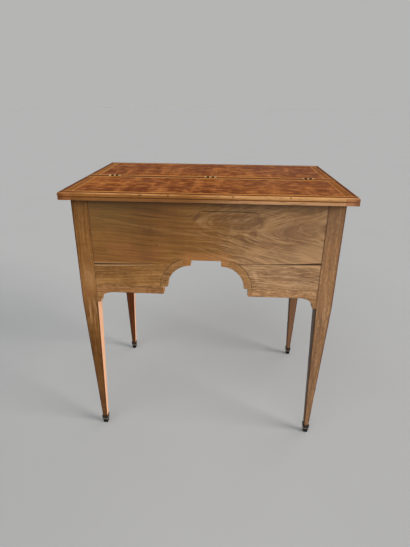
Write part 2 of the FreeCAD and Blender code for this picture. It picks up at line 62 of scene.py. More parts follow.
# One value in a material's node tree, so that shader maths reads as plain sums

class Value:
    def __init__(self, finish, socket):
        self.finish = finish
        self.socket = socket

    def __add__(self, other):
        return self.finish.sum("ADD", self, other)

    def __sub__(self, other):
        return self.finish.sum("SUBTRACT", self, other)

    def __rsub__(self, other):
        return self.finish.sum("SUBTRACT", other, self)

    def __mul__(self, other):
        return self.finish.sum("MULTIPLY", self, other)

    def __truediv__(self, other):
        return self.finish.sum("DIVIDE", self, other)

    __radd__ = __add__
    __rmul__ = __mul__


class Finish:
    def __init__(self, name):
        self.material = bpy.data.materials.new(name)
        self.material.use_nodes = True
        self.tree = self.material.node_tree
        self.surface = self.tree.nodes["Principled BSDF"]
        self.place = None

    def make(self, kind, settings=None, sockets=None, output=0):
        node = self.tree.nodes.new(kind)
        for key, setting in (settings or {}).items():
            if key == "stops":
                ramp = node.color_ramp
                while len(ramp.elements) < len(setting):
                    ramp.elements.new(0.5)
                for stop, (place, colour) in zip(ramp.elements, setting):
                    stop.position = place
                    stop.color = colour
            else:
                setattr(node, key, setting)
        for key, given in (sockets or {}).items():
            if isinstance(given, Value):
                self.tree.links.new(given.socket, node.inputs[key])
            else:
                node.inputs[key].default_value = given
        return Value(self, node.outputs[output])

    def sum(self, operation, *parts):
        return self.make("ShaderNodeMath", {"operation": operation}, dict(enumerate(parts)))

    def least(self, *parts):
        return self.sum("MINIMUM", *parts)

    def most(self, *parts):
        return self.sum("MAXIMUM", *parts)

    def size(self, part):
        return self.sum("ABSOLUTE", part)

    # how far two offsets reach together
    def reach(self, aside, up):
        return self.sum("SQRT", aside * aside + up * up)

    # 0 below low, 1 above high, or the other way round where low is the greater
    def ramp(self, part, low, high, smooth=True):
        kind = "SMOOTHSTEP" if smooth else "LINEAR"
        if low > high:
            return 1 - self.ramp(part, high, low, smooth)
        return self.make("ShaderNodeMapRange", {"interpolation_type": kind},
                         {"Value": part, "From Min": low, "From Max": high})

    # goes from start to end while the part goes from low to high
    def slide(self, part, low, high, start, end):
        return self.ramp(part, low, high) * (end - start) + start

    def mix(self, share, first, second, blend="MIX"):
        settings = {"data_type": "RGBA", "blend_type": blend, "clamp_factor": True}
        return self.make("ShaderNodeMix", settings, {0: share, 6: first, 7: second}, 2)

    # a share of one tone over a colour
    def stain(self, colour, share, shade):
        return self.mix(share, colour, tone(*shade))

    # two tones over a colour by a pattern, each with the pattern's two limits, a share and the tone
    def twoTone(self, colour, pattern, first, second, mask=1.0):
        for low, high, share, shade in (first, second):
            colour = self.stain(colour, self.ramp(pattern, low, high) * (mask * share), shade)
        return colour

    # how far the surface faces along X, from -1 to 1
    def facing(self):
        normal = self.make("ShaderNodeTexCoord", output=1)
        parts = self.tree.nodes.new("ShaderNodeSeparateXYZ")
        self.tree.links.new(normal.socket, parts.inputs[0])
        return Value(self, parts.outputs[0])

    # object coordinates as three values, in metres
    def axes(self):
        if self.place is None:
            spot = self.make("ShaderNodeTexCoord", output=3)
            parts = self.tree.nodes.new("ShaderNodeSeparateXYZ")
            self.tree.links.new(spot.socket, parts.inputs[0])
            self.place = [Value(self, socket) for socket in parts.outputs]
        return self.place

    def point(self, x, y, z):
        return self.make("ShaderNodeCombineXYZ", sockets={0: x, 1: y, 2: z})

    def noise(self, spot, scale=1.0, detail=2.0, rough=0.5, warp=0.0):
        sockets = {"Vector": spot, "Scale": scale, "Detail": detail, "Roughness": rough, "Distortion": warp}
        return self.make("ShaderNodeTexNoise", {"noise_dimensions": "3D"}, sockets)

    # the same noise all ways
    def even(self, scale, detail, rough=0.6):
        return self.noise(self.point(*self.axes()), scale, detail, rough)

    # noise stretched along the axes, by its waves to a metre along X, Y and Z
    def pattern(self, waves, detail=3.0, rough=0.6, warp=0.0):
        spots = [part * wave if wave else 0.0 for part, wave in zip(self.axes(), waves)]
        return self.noise(self.point(*spots), 1.0, detail, rough, warp)

    def attribute(self, name):
        return self.make("ShaderNodeAttribute", {"attribute_name": name}, output=2)

    def finish(self, colour, rough, height=None, depth=0.0004, strength=0.5, metal=0.0, coat=0.0,
               coatRough=0.2, gloss=0.5):
        for key, given in (("Base Color", colour), ("Roughness", rough)):
            if isinstance(given, Value):
                self.tree.links.new(given.socket, self.surface.inputs[key])
            else:
                self.surface.inputs[key].default_value = given
        self.surface.inputs["Metallic"].default_value = metal
        self.surface.inputs["Coat Weight"].default_value = coat
        self.surface.inputs["Coat Roughness"].default_value = coatRough
        self.surface.inputs["Specular IOR Level"].default_value = gloss
        if height is not None:
            sockets = {"Height": height, "Distance": depth, "Strength": strength}
            bump = self.make("ShaderNodeBump", sockets=sockets)
            self.tree.links.new(bump.socket, self.surface.inputs["Normal"])
        return self.material


# Wood: growth bands with one sharp side, fibres, pores, cloudy old polish and rubbed arrises

woodDefaults = {
    "grain": "X",                  # axis the board runs along
    "tilt": 0.0,                   # how much the grain climbs across the board for each metre along it
    "shift": (0.0, 0.0, 0.0),      # takes each board from another place of the tree
    "dark": (88, 58, 32),
    "middle": (134, 98, 60),
    "light": (178, 142, 98),
    "bend": 0.030,                 # slow swing of the grain, in metres
    "bendLong": 3.0,               # swings in a metre along the board
    "kinkDeep": 0.008,             # quicker bends, in metres
    "rings": 70.0,                 # growth bands in a metre across the board
    "figure": 0.5,                 # strength of the growth bands, then of the other patterns
    "band": 0.9,
    "fibre": 1.0,
    "cloud": 0.6,
    "cloudScale": 9.0,
    "ripple": 0.2,
    "pores": 0.45,
    "rub": (190, 148, 102),        # what the arrises are rubbed to
    "rubShare": 0.5,
    "sweep": 0.0,                  # how fast the grain turns upwards on the side away from the start
    "rough": 0.5,
    "coat": 0.0,
    "coatRough": 0.28,
    "gloss": 0.35,
    "bumpDeep": 0.0006,
    "bumpShare": 0.35,
}
# waves to a metre along the grain and across it, then the noise's detail and roughness
woodPatterns = {
    "kink": (11, 16, 2.0, 0.5),
    "clearness": (2, 9, 1.0, 0.5),
    "band": (1.3, 62, 3.0, 0.62),
    "fibre": (7, 330, 3.0, 0.62),
    "ripple": (75, 16, 2.0, 0.5),
    "pore": (60, 1400, 1.0, 0.5),
}


def wood(name, extra=None, **changes):
    look = {**woodDefaults, **changes}
    f = Finish(name)
    x, y, z = f.axes()
    order = {"X": (x, z, y), "Y": (y, x, z), "Z": (z, x, y)}[look["grain"]]
    along = order[0] + look["shift"][0]
    flatAcross = order[1] + look["shift"][1] - along * look["tilt"]
    through = order[2] + look["shift"][2]

    def pattern(kind, side):
        long, thin, detail, rough = woodPatterns[kind]
        return f.noise(f.point(along * long, side * thin, through * thin), 1.0, detail, rough)

    swing = f.noise(f.point(along * look["bendLong"], flatAcross * 5, through * 5), 1.0, 1.0, 0.5)
    kink = pattern("kink", flatAcross)
    across = flatAcross + (swing - 0.5) * look["bend"] + (kink - 0.5) * look["kinkDeep"]
    if look["sweep"]:
        beyond = f.most(order[0] * (-1), 0.0)
        across = across + beyond * beyond * look["sweep"]

    phase = across * look["rings"] + through * (look["rings"] * 0.4) + swing * 3.0
    clear = f.ramp(pattern("clearness", across), 0.38, 0.62)
    ring = f.sum("POWER", f.sum("FRACT", phase), 5.0) * clear
    band = pattern("band", across)
    fibre = pattern("fibre", across)
    ripple = pattern("ripple", across)
    pore = f.ramp(pattern("pore", across), 0.60, 0.74)
    cloud = f.noise(f.point(along * 0.5, flatAcross, through), look["cloudScale"], 3.0, 0.55, 0.5)

    shade = (band - 0.5) * look["band"] + (fibre - 0.5) * look["fibre"] + (cloud - 0.5) * look["cloud"]
    shade = shade + (ripple - 0.5) * look["ripple"] - ring * look["figure"] + (0.5 + look["figure"] * 0.08)
    stops = [(0.1, tone(*look["dark"])), (0.5, tone(*look["middle"])), (0.9, tone(*look["light"]))]
    colour = f.make("ShaderNodeValToRGB", {"stops": stops}, {0: shade})
    colour = f.stain(colour, pore * look["pores"], [part * 0.45 for part in look["dark"]])
    rub = f.attribute("wear") * f.ramp(f.even(65.0, 3.0), 0.34, 0.62)
    colour = f.stain(colour, rub * look["rubShare"], look["rub"])

    height = fibre * 0.5 - ring * 0.2 - pore * 0.6
    rough = (0.5 - fibre) * 0.14 + (cloud - 0.5) * 0.16 + pore * 0.12 + look["rough"]
    if extra:
        colour, rough, height = extra(f, colour, rough, height)
    return f.finish(colour, rough, height, look["bumpDeep"], look["bumpShare"], coat=look["coat"],
                    coatRough=look["coatRough"], gloss=look["gloss"])


# a dark line or smudge along a straight stretch on the back, from one place to another in metres
def streak(f, start, end, half, soft, stray=0.004):
    x, y, z = f.axes()
    run = Vector((end[0] - start[0], end[1] - start[1]))
    length = run.length
    ux, uz = run / length
    wobble = (f.pattern((60, 0, 60), 2.0, 0.5) - 0.5) * stray
    alongLine = (x - start[0]) * ux + (z - start[1]) * uz
    offLine = f.size((x - start[0]) * (-uz) + (z - start[1]) * ux + wobble)
    fromMiddle = f.size(alongLine - length / 2)
    return f.ramp(offLine, half + soft, half) * f.ramp(fromMiddle, length / 2 + soft, length / 2 - soft * 2)


# a soft round patch on the back, or an upright one where tall is above 1
def spot(f, x0, z0, radius, soft, tall=1.0):
    x, y, z = f.axes()
    return f.ramp(f.reach(x - x0, (z - z0) / tall), radius + soft, radius)


# grain that closes round an eye: light and dark lines about it, dusky inside
def grainEye(f, colour, x0, z0, long, tall, lean, share, dark, light):
    x, y, z = f.axes()
    along = x - x0
    up = z - z0 + along * lean
    eye = f.sum("SQRT", along * along / long ** 2 + up * up / tall ** 2)
    lines = f.noise(f.point(eye * 2.8, x * 5, z * 8), 1.0, 3.0, 0.6)
    around = f.ramp(eye, 3.6, 1.6)
    colour = f.twoTone(colour, lines, (0.53, 0.62, share, light), (0.48, 0.38, share, dark), around)
    return f.stain(colour, f.ramp(eye, 1.5, 0.5) * (share * 0.8), dark)


# flecks along X, darker and lighter by turns, at the given height or the plain one
def flecks(f, colour, mask, share, dark, light, long=75.0, thin=250.0, rise=None):
    x, y, z = f.axes()
    fleck = f.noise(f.point(x * long, y * thin, (rise or z) * thin), 1.0, 3.0, 0.6)
    return f.twoTone(colour, fleck, (0.52, 0.66, share, dark), (0.48, 0.36, share, light), mask)


print("wood recipe ready")


# Camera, from a fit to the desk's corners and feet in the photograph

view = {
    "place": (-0.04855, 1.18174, 0.94735),
    "turn": (66.555, -0.502, -176.769),
    "focalPixels": 404.03,
    "frameTall": 547,
    "sensor": 36.0,
    "clipStart": 0.05,
}
cameraData = bpy.data.cameras.new("camera")
cameraData.sensor_width = view["sensor"]
cameraData.lens = view["sensor"] * view["focalPixels"] / view["frameTall"]
cameraData.clip_start = view["clipStart"]
camera = bpy.data.objects.new("camera", cameraData)
camera.location = view["place"]
camera.rotation_euler = Euler([math.radians(angle) for angle in view["turn"]])
bpy.context.collection.objects.link(camera)
bpy.context.scene.camera = camera


# Studio: pale floor that runs out to a wall of the same tone, dimmer ceiling, soft light from low on one side

studio = {
    "floorRadius": 45.0,
    "floorTone": (167, 172, 177),
    "floorUneven": 2,              # how far the floor's tone strays each way
    "wallTone": (181, 181, 180),
    "ceilingTone": (124, 124, 124),
    "ceilingFrom": (0.25, 0.55),   # how steeply the view looks up where the wall turns into the ceiling
}
# where the light comes from, its strength, the lamp's width in degrees, its tone, whether it glints
lamps = {
    "lowSide": ((-0.92, 0.28, 0.26), 5.4, 30.0, (255, 243, 230), False),
    "aboveBack": ((0.15, 0.62, 0.70), 1.2, 60.0, (255, 250, 244), True),
    "front": ((-0.80, -0.52, 0.28), 1.6, 60.0, (255, 247, 238), False),
    "farSide": ((0.90, -0.25, 0.36), 0.5, 60.0, (255, 250, 244), True),
}
lampAway = 3                       # distance of the lamps' objects, which doesn't change their light


def buildFloor():
    ring = bmesh.new()
    bmesh.ops.create_circle(ring, cap_ends=True, segments=64, radius=studio["floorRadius"])
    floorMesh = bpy.data.meshes.new("floor")
    ring.to_mesh(floorMesh)
    ring.free()
    floor = bpy.data.objects.new("floor", floorMesh)
    bpy.context.collection.objects.link(floor)
    f = Finish("floorPaint")
    x, y, z = f.axes()
    cloud = f.noise(f.point(x, y, 0.0), 2.5, 2.0, 0.5)
    darker, paler = ([part + stray for part in studio["floorTone"]]
                     for stray in (-studio["floorUneven"], studio["floorUneven"]))
    pale = f.mix(cloud, tone(*darker), tone(*paler))
    floorMesh.materials.append(f.finish(pale, 0.9, gloss=0.0))


def buildWorld():
    world = bpy.data.worlds.new("studio")
    world.use_nodes = True
    tree = world.node_tree
    around = tree.nodes.new("ShaderNodeTexCoord")
    parts = tree.nodes.new("ShaderNodeSeparateXYZ")
    height = tree.nodes.new("ShaderNodeMapRange")
    height.interpolation_type = "SMOOTHSTEP"
    height.inputs["From Min"].default_value, height.inputs["From Max"].default_value = studio["ceilingFrom"]
    blend = tree.nodes.new("ShaderNodeMix")
    blend.data_type = "RGBA"
    blend.inputs[6].default_value = tone(*studio["wallTone"])
    blend.inputs[7].default_value = tone(*studio["ceilingTone"])
    for giver, taker in ((around.outputs["Generated"], parts.inputs[0]),
                         (parts.outputs["Z"], height.inputs["Value"]),
                         (height.outputs[0], blend.inputs[0]),
                         (blend.outputs[2], tree.nodes["Background"].inputs["Color"])):
        tree.links.new(giver, taker)
    bpy.context.scene.world = world


def buildLamps():
    for name, (source, strength, width, shade, glints) in lamps.items():
        data = bpy.data.lights.new(name, "SUN")
        data.energy = strength
        data.angle = math.radians(width)
        data.color = tone(*shade)[:3]
        lamp = bpy.data.objects.new(name, data)
        lamp.location = Vector(source) * lampAway
        lamp.visible_glossy = glints
        lamp.rotation_euler = (-Vector(source)).to_track_quat("-Z", "Y").to_euler()
        bpy.context.collection.objects.link(lamp)


bpy.context.scene.view_settings.view_transform = "Standard"
buildFloor()
buildWorld()
buildLamps()
print("camera and studio ready")


# A copy of a CAD node with rounded arrises; the middle of each rounding carries the "wear" value

arris = {"width": 0.0008, "turn": 35.0, "segments": 2, "sameSpot": 1e-6, "flatWithin": 0.5}


def bodyName(node):
    for body, members in frame["record"]["behaviour"]["bodies"].items():
        if node in members:
            return body


# stands a new piece in for the CAD node it was made from
def standIn(piece, node):
    bpy.context.collection.objects.link(piece)
    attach(piece, bodyName(node))
    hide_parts(node)


def soften(node, material, width=arris["width"]):
    work = bmesh.new()
    work.from_mesh(nodes[node].data)
    bmesh.ops.remove_doubles(work, verts=work.verts, dist=arris["sameSpot"])
    bmesh.ops.dissolve_limit(work, angle_limit=math.radians(arris["flatWithin"]), verts=work.verts,
                             edges=work.edges)
    sharp = [edge for edge in work.edges
             if len(edge.link_faces) == 2 and edge.calc_face_angle(0.0) > math.radians(arris["turn"])]
    made = bmesh.ops.bevel(work, geom=sharp, offset=width, offset_type="OFFSET", segments=arris["segments"],
                           profile=0.5, affect="EDGES", clamp_overlap=True)
    rounded = set(made["faces"])
    wear = work.verts.layers.float.new("wear")
    for vert in work.verts:
        vert[wear] = 1.0 if all(face in rounded for face in vert.link_faces) else 0.0
    for face in work.faces:
        face.smooth = face in rounded
    mesh = bpy.data.meshes.new(f"{node}_wood")
    work.to_mesh(mesh)
    work.free()
    mesh.materials.append(material)
    standIn(bpy.data.objects.new(f"{node}_wood", mesh), node)


def paint(node, material):
    for slot in nodes[node].material_slots:
        slot.material = material


# Back planks: tan boards under thin old wax, dark in the joints, calm on one side and swirled on the other

backLook = {
    "upper": {"tilt": 0.05, "shift": (0.4, 0.0, 0.3), "rings": 66.0, "bend": 0.034, "sweep": 0.45,
              "figure": 0.14, "band": 0.34, "fibre": 0.8, "ripple": 0.1, "cloud": 0.9, "cloudScale": 7.0,
              "dark": (72, 44, 14), "middle": (120, 80, 33), "light": (168, 126, 70)},
    "lowerCalm": {"tilt": -0.03, "shift": (1.7, 0.2, 0.9), "rings": 80.0, "figure": 0.14, "band": 0.55,
                  "cloud": 1.4, "dark": (84, 52, 18), "middle": (130, 90, 44), "light": (174, 134, 80)},
    "lowerSwirled": {"tilt": 0.10, "shift": (3.1, 0.5, 0.1), "rings": 60.0, "bend": 0.05, "figure": 0.2,
                     "band": 0.6, "ripple": 0.3,
                     "dark": (92, 60, 34), "middle": (144, 108, 70), "light": (190, 154, 112)},
    "strips": {"tilt": 0.02, "shift": (5.1, 0.1, 0.7), "rings": 90.0, "figure": 0.2, "band": 0.6,
               "dark": (78, 48, 22), "middle": (130, 91, 49), "light": (174, 133, 86)},
    "bands": {"tilt": 0.15, "shift": (6.3, 0.4, 0.2), "rings": 80.0, "figure": 0.2, "band": 0.5,
              "dark": (84, 54, 26), "middle": (134, 96, 54), "light": (174, 134, 88)},
}

# In these dictionaries a fade is the two places, in metres, where a mark starts and where it is full.
# A slide has the same two places and then the shares at them.

# how the back's pieces are joined: the sloping joint between the planks, and the arch's curved bands
backJoints = {
    "atMiddle": 0.5565,            # height of the sloping joint in the middle of the desk
    "climb": -0.02568,
    "halfOut": 0.0026,             # half of its opening at the outer ends
    "archCentre": (0.039, 0.490),
    "archRadius": 0.0806,
    "stileAt": 0.292,
}
# painted shade under the top's overhang and a painted shadow right under the top, a paler greyer tone towards
# one side and dark lines in the arch's and stiles' joints, across all the pieces of the back
shadeAndJointLook = {
    "overhangShadeRise": (0.560, 0.735), "overhangShadeShare": (0.05, -0.10, 0.18, 0.38), "overhangShade": (82, 58, 28),
    "underTopShadowRise": (0.704, 0.7205), "cornerShare": 0.6, "corner": (72, 36, 12),
    "greyFade": (0.02, -0.24), "greyShare": 0.30, "grey": (150, 119, 90),
    "archLine": (0.0014, 0.0006), "archOver": (-0.001, 0.001), "archOut": (0.058, 0.061),
    "archShare": 0.3, "arch": (48, 28, 14),
    "stileLine": (0.0024, 0.0010), "stileRise": (0.44, 0.47), "stileShare": (0.05, -0.05, 0.35, 0.60),
    "stile": (52, 30, 20),
}


# height over the sloping joint, which climbs towards one side
def overJoint(f):
    x, y, z = f.axes()
    return z - x * backJoints["climb"] - backJoints["atMiddle"]


def paintedShadeAndJoints(f, colour):
    x, y, z = f.axes()
    shadeMarks = shadeAndJointLook
    out = f.size(x)
    # painted shade, darker towards the top under the top's overhang, then a painted shadow right under the
    # top
    overhangShade = f.ramp(z, *shadeMarks["overhangShadeRise"], False)
    colour = f.stain(colour, overhangShade * f.slide(x, *shadeMarks["overhangShadeShare"]), shadeMarks["overhangShade"])
    colour = f.stain(colour, f.ramp(z, *shadeMarks["underTopShadowRise"]) * shadeMarks["cornerShare"], shadeMarks["corner"])
    colour = f.stain(colour, f.ramp(x, *shadeMarks["greyFade"]) * shadeMarks["greyShare"], shadeMarks["grey"])

    centre, height = backJoints["archCentre"]
    up = z - height
    offArch = f.size(f.reach(out - centre, up) - backJoints["archRadius"])
    archGap = f.ramp(offArch, *shadeMarks["archLine"]) * f.ramp(up, *shadeMarks["archOver"]) * f.ramp(out, *shadeMarks["archOut"])
    colour = f.stain(colour, archGap * shadeMarks["archShare"], shadeMarks["arch"])

    stileAt = backJoints["stileAt"]
    besideStile = f.ramp(stileAt - out, *shadeMarks["stileLine"]) * f.ramp(z, *shadeMarks["stileRise"])
    onPlank = f.ramp(out, stileAt + 0.0002, stileAt)
    return f.stain(colour, besideStile * onPlank * f.slide(x, *shadeMarks["stileShare"]), shadeMarks["stile"])


# upper plank: patterns are waves to a metre, marks are places across and up
upperCurl = {"waves": (26, 0, 34), "warp": 1.6, "fade": (0.0, -0.08),
             "dusky": (0.50, 0.66, 0.55, (80, 54, 38)), "pale": (0.46, 0.34, 0.20, (176, 142, 104))}
upperTones = {
    "swirledFade": (-0.04, -0.14),
    "duskyAt": 0.648, "duskyFade": (0.045, 0.012), "duskyShare": 0.34, "dusky": (84, 56, 36),
    "paleFade": (0.622, 0.586), "paleShare": 0.36, "pale": (196, 160, 120),
    "redFade": (0.0, 0.1), "redShare": 0.3, "red": (132, 82, 44),
    "olive": (112, 92, 44), "oliveAcross": (0.12, 0.24), "oliveRise": (0.60, 0.69), "oliveShare": 0.3,
    "eyeDark": (86, 58, 42), "eyeLight": (184, 148, 108),
}
# grain that parts at the spine, falls away below it and climbs above it
upperGrain = {
    "spine": 0.657, "soft": 0.0005, "turnsFrom": 0.03, "turn": 0.25,
    "wander": 0.024, "wanderWaves": (9, 0, 16),
    "fleckFade": (0.08, -0.10), "fleckOff": (0.004, 0.022, 0.5, 1.0), "fleckShare": 0.58,
    "fleckDark": (70, 44, 26), "fleckLight": (182, 146, 104), "fleckLong": 26.0, "fleckThin": 300.0,
    "rayFade": (0.02, -0.08), "rayOff": (0.006, 0.026, 0.25, 1.0), "rayWaves": (5, 180),
    "calmRise": (-0.004, 0.012), "calmAcross": (-0.16, -0.11),
    "paleRayShare": (0.0, -0.03, 0.36, 0.50), "paleRay": (190, 154, 112),
    "darkRayShare": 0.42, "darkRay": (84, 56, 38),
}
# an eye: place, half length, half height, lean, share
upperEyes = (
    (-0.252, 0.655, 0.062, 0.017, 0.12, 0.42),
    (-0.236, 0.604, 0.055, 0.014, 0.28, 0.20),
    (-0.096, 0.674, 0.055, 0.014, 0.05, 0.30),
)
# a streak: start, end, half its width, softness and, for the straight crack, how far it strays
upperStreaks = {
    "crack": ((-0.122, 0.6955), (0.013, 0.6955), 0.0009, 0.0010, 0.001),
    "leftSlope": ((0.013, 0.6955), (0.034, 0.667), 0.0012, 0.005),
    "rightSlope": ((-0.122, 0.6955), (-0.141, 0.657), 0.0014, 0.005),
    "swirl": ((-0.110, 0.624), (-0.235, 0.602), 0.0012, 0.004),
    "ray": ((0.287, 0.675), (0.140, 0.650), 0.0006, 0.003),
    "longRay": ((0.140, 0.650), (0.015, 0.632), 0.0006, 0.003),
}
# a spot: place, radius, softness and stretch, then its share and tone
upperSpots = {
    "smudge": ((-0.195, 0.641, 0.006, 0.024, 0.8), 0.4, (86, 58, 46)),
    "knot": ((0.1256, 0.6045, 0.0014, 0.004), 0.6, (78, 46, 26)),
    "paleKnot": ((-0.156, 0.660, 0.010, 0.012), 0.4, (168, 130, 84)),
    "palePatch": ((-0.262, 0.598, 0.026, 0.034, 0.5), 0.36, (190, 152, 108)),
}
underCrack = {"middle": 0.0545, "across": (0.080, 0.060), "rise": (0.655, 0.6755), "below": (0.6955, 0.690),
              "share": 0.16, "tone": (92, 62, 36)}
crown = {"across": (0.075, 0.045), "rise": (0.594, 0.578), "share": 0.34, "tone": (180, 122, 72)}
# the sloping joint on the upper plank: a lip painted with a highlight over a dark opening that is wider on
# one side
openJoint = {
    "outFade": (0.13, 0.29), "lip": (0.009, 0.004), "lipHighlightShare": 0.30, "lipHighlightTone": (188, 152, 110),
    "sideShare": (0.05, -0.05, 0.65, 1.0), "least": 0.0003, "more": 0.0014, "moreFade": (-0.22, -0.285),
    "soft": (0.0005, -0.0002), "darkFade": (0.105, 0.15), "share": 0.93, "tone": (44, 18, 6),
}


def upperTexture(f, colour):
    x, y, z = f.axes()
    look = upperTones
    curl = f.pattern(upperCurl["waves"], warp=upperCurl["warp"])
    colour = f.twoTone(colour, curl, upperCurl["dusky"], upperCurl["pale"], f.ramp(x, *upperCurl["fade"]))
    swirled = f.ramp(x, *look["swirledFade"])
    dusky = f.ramp(f.size(z - look["duskyAt"]), *look["duskyFade"])
    colour = f.stain(colour, swirled * dusky * look["duskyShare"], look["dusky"])
    colour = f.stain(colour, swirled * f.ramp(z, *look["paleFade"]) * look["paleShare"], look["pale"])
    place, share, shade = upperSpots["smudge"]
    colour = f.stain(colour, spot(f, *place) * share, shade)
    for eye in upperEyes:
        colour = grainEye(f, colour, *eye, look["eyeDark"], look["eyeLight"])
    return colour


def upperParting(f, colour):
    x, y, z = f.axes()
    look = upperGrain
    off = z - look["spine"]
    wander = f.pattern(look["wanderWaves"], 2.0, 0.5) * look["wander"]
    turned = f.least(x - look["turnsFrom"], 0.0) * look["turn"]
    flow = f.sum("SQRT", off * off + look["soft"]) + turned + wander
    flecked = f.ramp(x, *look["fleckFade"]) * f.slide(f.size(off), *look["fleckOff"])
    colour = flecks(f, colour, flecked, look["fleckShare"], look["fleckDark"], look["fleckLight"],
                    look["fleckLong"], look["fleckThin"], flow)
    long, thin = look["rayWaves"]
    ray = f.noise(f.point(x * long, 0.0, flow * thin), 1.0, 3.0, 0.6)
    calm = f.ramp(off, *look["calmRise"]) * f.ramp(x, *look["calmAcross"])
    shown = f.ramp(x, *look["rayFade"]) * (1 - calm * 0.7) * f.slide(f.size(off), *look["rayOff"])
    paleShare = f.slide(off, *look["paleRayShare"])
    return f.twoTone(colour, ray, (0.52, 0.62, paleShare, look["paleRay"]),
                     (0.48, 0.38, look["darkRayShare"], look["darkRay"]), shown)


def upperExtra(f, colour, rough, height):
    x, y, z = f.axes()
    look = upperTones
    colour = upperTexture(f, colour)
    colour = upperParting(f, colour)
    redPatch = f.ramp(f.noise(f.point(x, 0.0, z * 1.4), 7.0, 2.0, 0.5), 0.5, 0.62)
    colour = f.stain(colour, f.ramp(x, *look["redFade"]) * redPatch * look["redShare"], look["red"])
    olive = f.ramp(x, *look["oliveAcross"]) * f.ramp(z, *look["oliveRise"])
    colour = f.stain(colour, olive * look["oliveShare"], look["olive"])

    marks = {name: streak(f, *line) for name, line in upperStreaks.items()}
    within = f.ramp(f.size(x + underCrack["middle"]), *underCrack["across"]) * f.ramp(z, *underCrack["rise"])
    under = f.ramp(z, *underCrack["below"]) * within
    colour = f.stain(colour, under * underCrack["share"], underCrack["tone"])
    colour = f.stain(colour, marks["swirl"] * 0.55, (84, 56, 32))
    colour = f.stain(colour, f.most(marks["ray"], marks["longRay"]) * 0.13, (172, 138, 90))
    colour = f.stain(colour, f.most(marks["leftSlope"], marks["rightSlope"]) * 0.55, (80, 50, 34))
    colour = f.stain(colour, marks["crack"] * 0.85, (40, 24, 12))
    for name in ("knot", "paleKnot", "palePatch"):
        place, share, shade = upperSpots[name]
        colour = f.stain(colour, spot(f, *place) * share, shade)

    overCrown = f.ramp(f.size(x), *crown["across"]) * f.ramp(z, *crown["rise"])
    colour = f.stain(colour, overCrown * crown["share"], crown["tone"])
    over = overJoint(f)
    joint = openJoint
    outward = f.ramp(f.size(x), *joint["outFade"], False)
    # painted highlight on the lip over the joint
    colour = f.stain(colour, f.ramp(over, *joint["lip"]) * outward * joint["lipHighlightShare"], joint["lipHighlightTone"])
    colour = paintedShadeAndJoints(f, colour)
    gapHalf = outward * backJoints["halfOut"] * f.slide(x, *joint["sideShare"])
    gapHalf = gapHalf + f.ramp(x, *joint["moreFade"]) * joint["more"] + joint["least"]
    opened = f.ramp(over - gapHalf, *joint["soft"]) * f.ramp(f.size(x), *joint["darkFade"])
    colour = f.stain(colour, opened * joint["share"], joint["tone"])
    return colour, rough + marks["crack"] * 0.2, height - marks["crack"] * 1.6


# lower planks: a painted highlight on the lip and a painted shadow under the sloping joint
lowerMarks = {
    "outFade": (0.12, 0.24), "fleckShare": 0.24, "fleckDark": (86, 56, 24), "fleckLight": (170, 130, 78),
    "lip": (0.007, 0.003), "lipHighlightShare": 0.45, "lipHighlightTone": (196, 160, 116),
    "shadow": (0.0026, 0.0016), "shadowShare": 0.8, "shadowTone": (48, 22, 8),
}
# the swirled plank's curls, eyes, flame and bowed grain
swirlMarks = {
    "curlWaves": (24, 0, 42), "curlRough": 0.65, "warp": 1.6,
    "curlDark": (0.50, 0.64, 0.5, (98, 68, 46)), "curlLight": (0.46, 0.34, 0.45, (194, 158, 118)),
    "eyes": ((-0.190, 0.541, 0.040, 0.012, -0.05, 0.50), (-0.262, 0.520, 0.036, 0.012, 0.20, 0.50)),
    "eyeDark": (96, 68, 48), "eyeLight": (202, 166, 126),
    "flame": ((-0.121, 0.545), (-0.136, 0.508), 0.0016, 0.006), "flameTone": (204, 170, 130),
    "bowFrom": -0.20, "bow": 1.1, "wander": 0.016, "wanderWaves": (12, 0, 20),
    "fleckShare": 0.56, "fleckDark": (78, 50, 30), "fleckLong": 22.0, "fleckThin": 300.0,
    "rayWaves": (6, 170), "pale": (202, 166, 126), "paleShare": 0.46, "dark": (84, 56, 36), "darkShare": 0.52,
}


def lowerExtra(f, colour, rough, height):
    x, y, z = f.axes()
    marks = lowerMarks
    under = overJoint(f) * (-1)
    outward = f.ramp(f.size(x), *marks["outFade"])
    colour = flecks(f, colour, 1.0, marks["fleckShare"], marks["fleckDark"], marks["fleckLight"])
    # painted highlight on the lip under the joint
    colour = f.stain(colour, f.ramp(under, *marks["lip"]) * outward * marks["lipHighlightShare"], marks["lipHighlightTone"])
    shadow = f.ramp(under, *marks["shadow"]) * outward
    colour = f.stain(colour, shadow * marks["shadowShare"], marks["shadowTone"])
    return paintedShadeAndJoints(f, colour), rough, height


def swirledExtra(f, colour, rough, height):
    x, y, z = f.axes()
    marks = swirlMarks
    curl = f.pattern(marks["curlWaves"], 3.0, marks["curlRough"], marks["warp"])
    colour = f.twoTone(colour, curl, marks["curlDark"], marks["curlLight"])
    for eye in marks["eyes"]:
        colour = grainEye(f, colour, *eye, marks["eyeDark"], marks["eyeLight"])
    colour = f.stain(colour, streak(f, *marks["flame"]) * 0.5, marks["flameTone"])
    bow = f.least(x - marks["bowFrom"], 0.0)
    flow = z + bow * bow * marks["bow"] + f.pattern(marks["wanderWaves"], 2.0, 0.5) * marks["wander"]
    colour = flecks(f, colour, 1.0, marks["fleckShare"], marks["fleckDark"], marks["pale"],
                    marks["fleckLong"], marks["fleckThin"], flow)
    long, thin = marks["rayWaves"]
    ray = f.noise(f.point(x * long, 0.0, flow * thin), 1.0, 3.0, 0.6)
    colour = f.twoTone(colour, ray, (0.52, 0.62, marks["paleShare"], marks["pale"]),
                       (0.48, 0.38, marks["darkShare"], marks["dark"]))
    return lowerExtra(f, colour, rough, height)


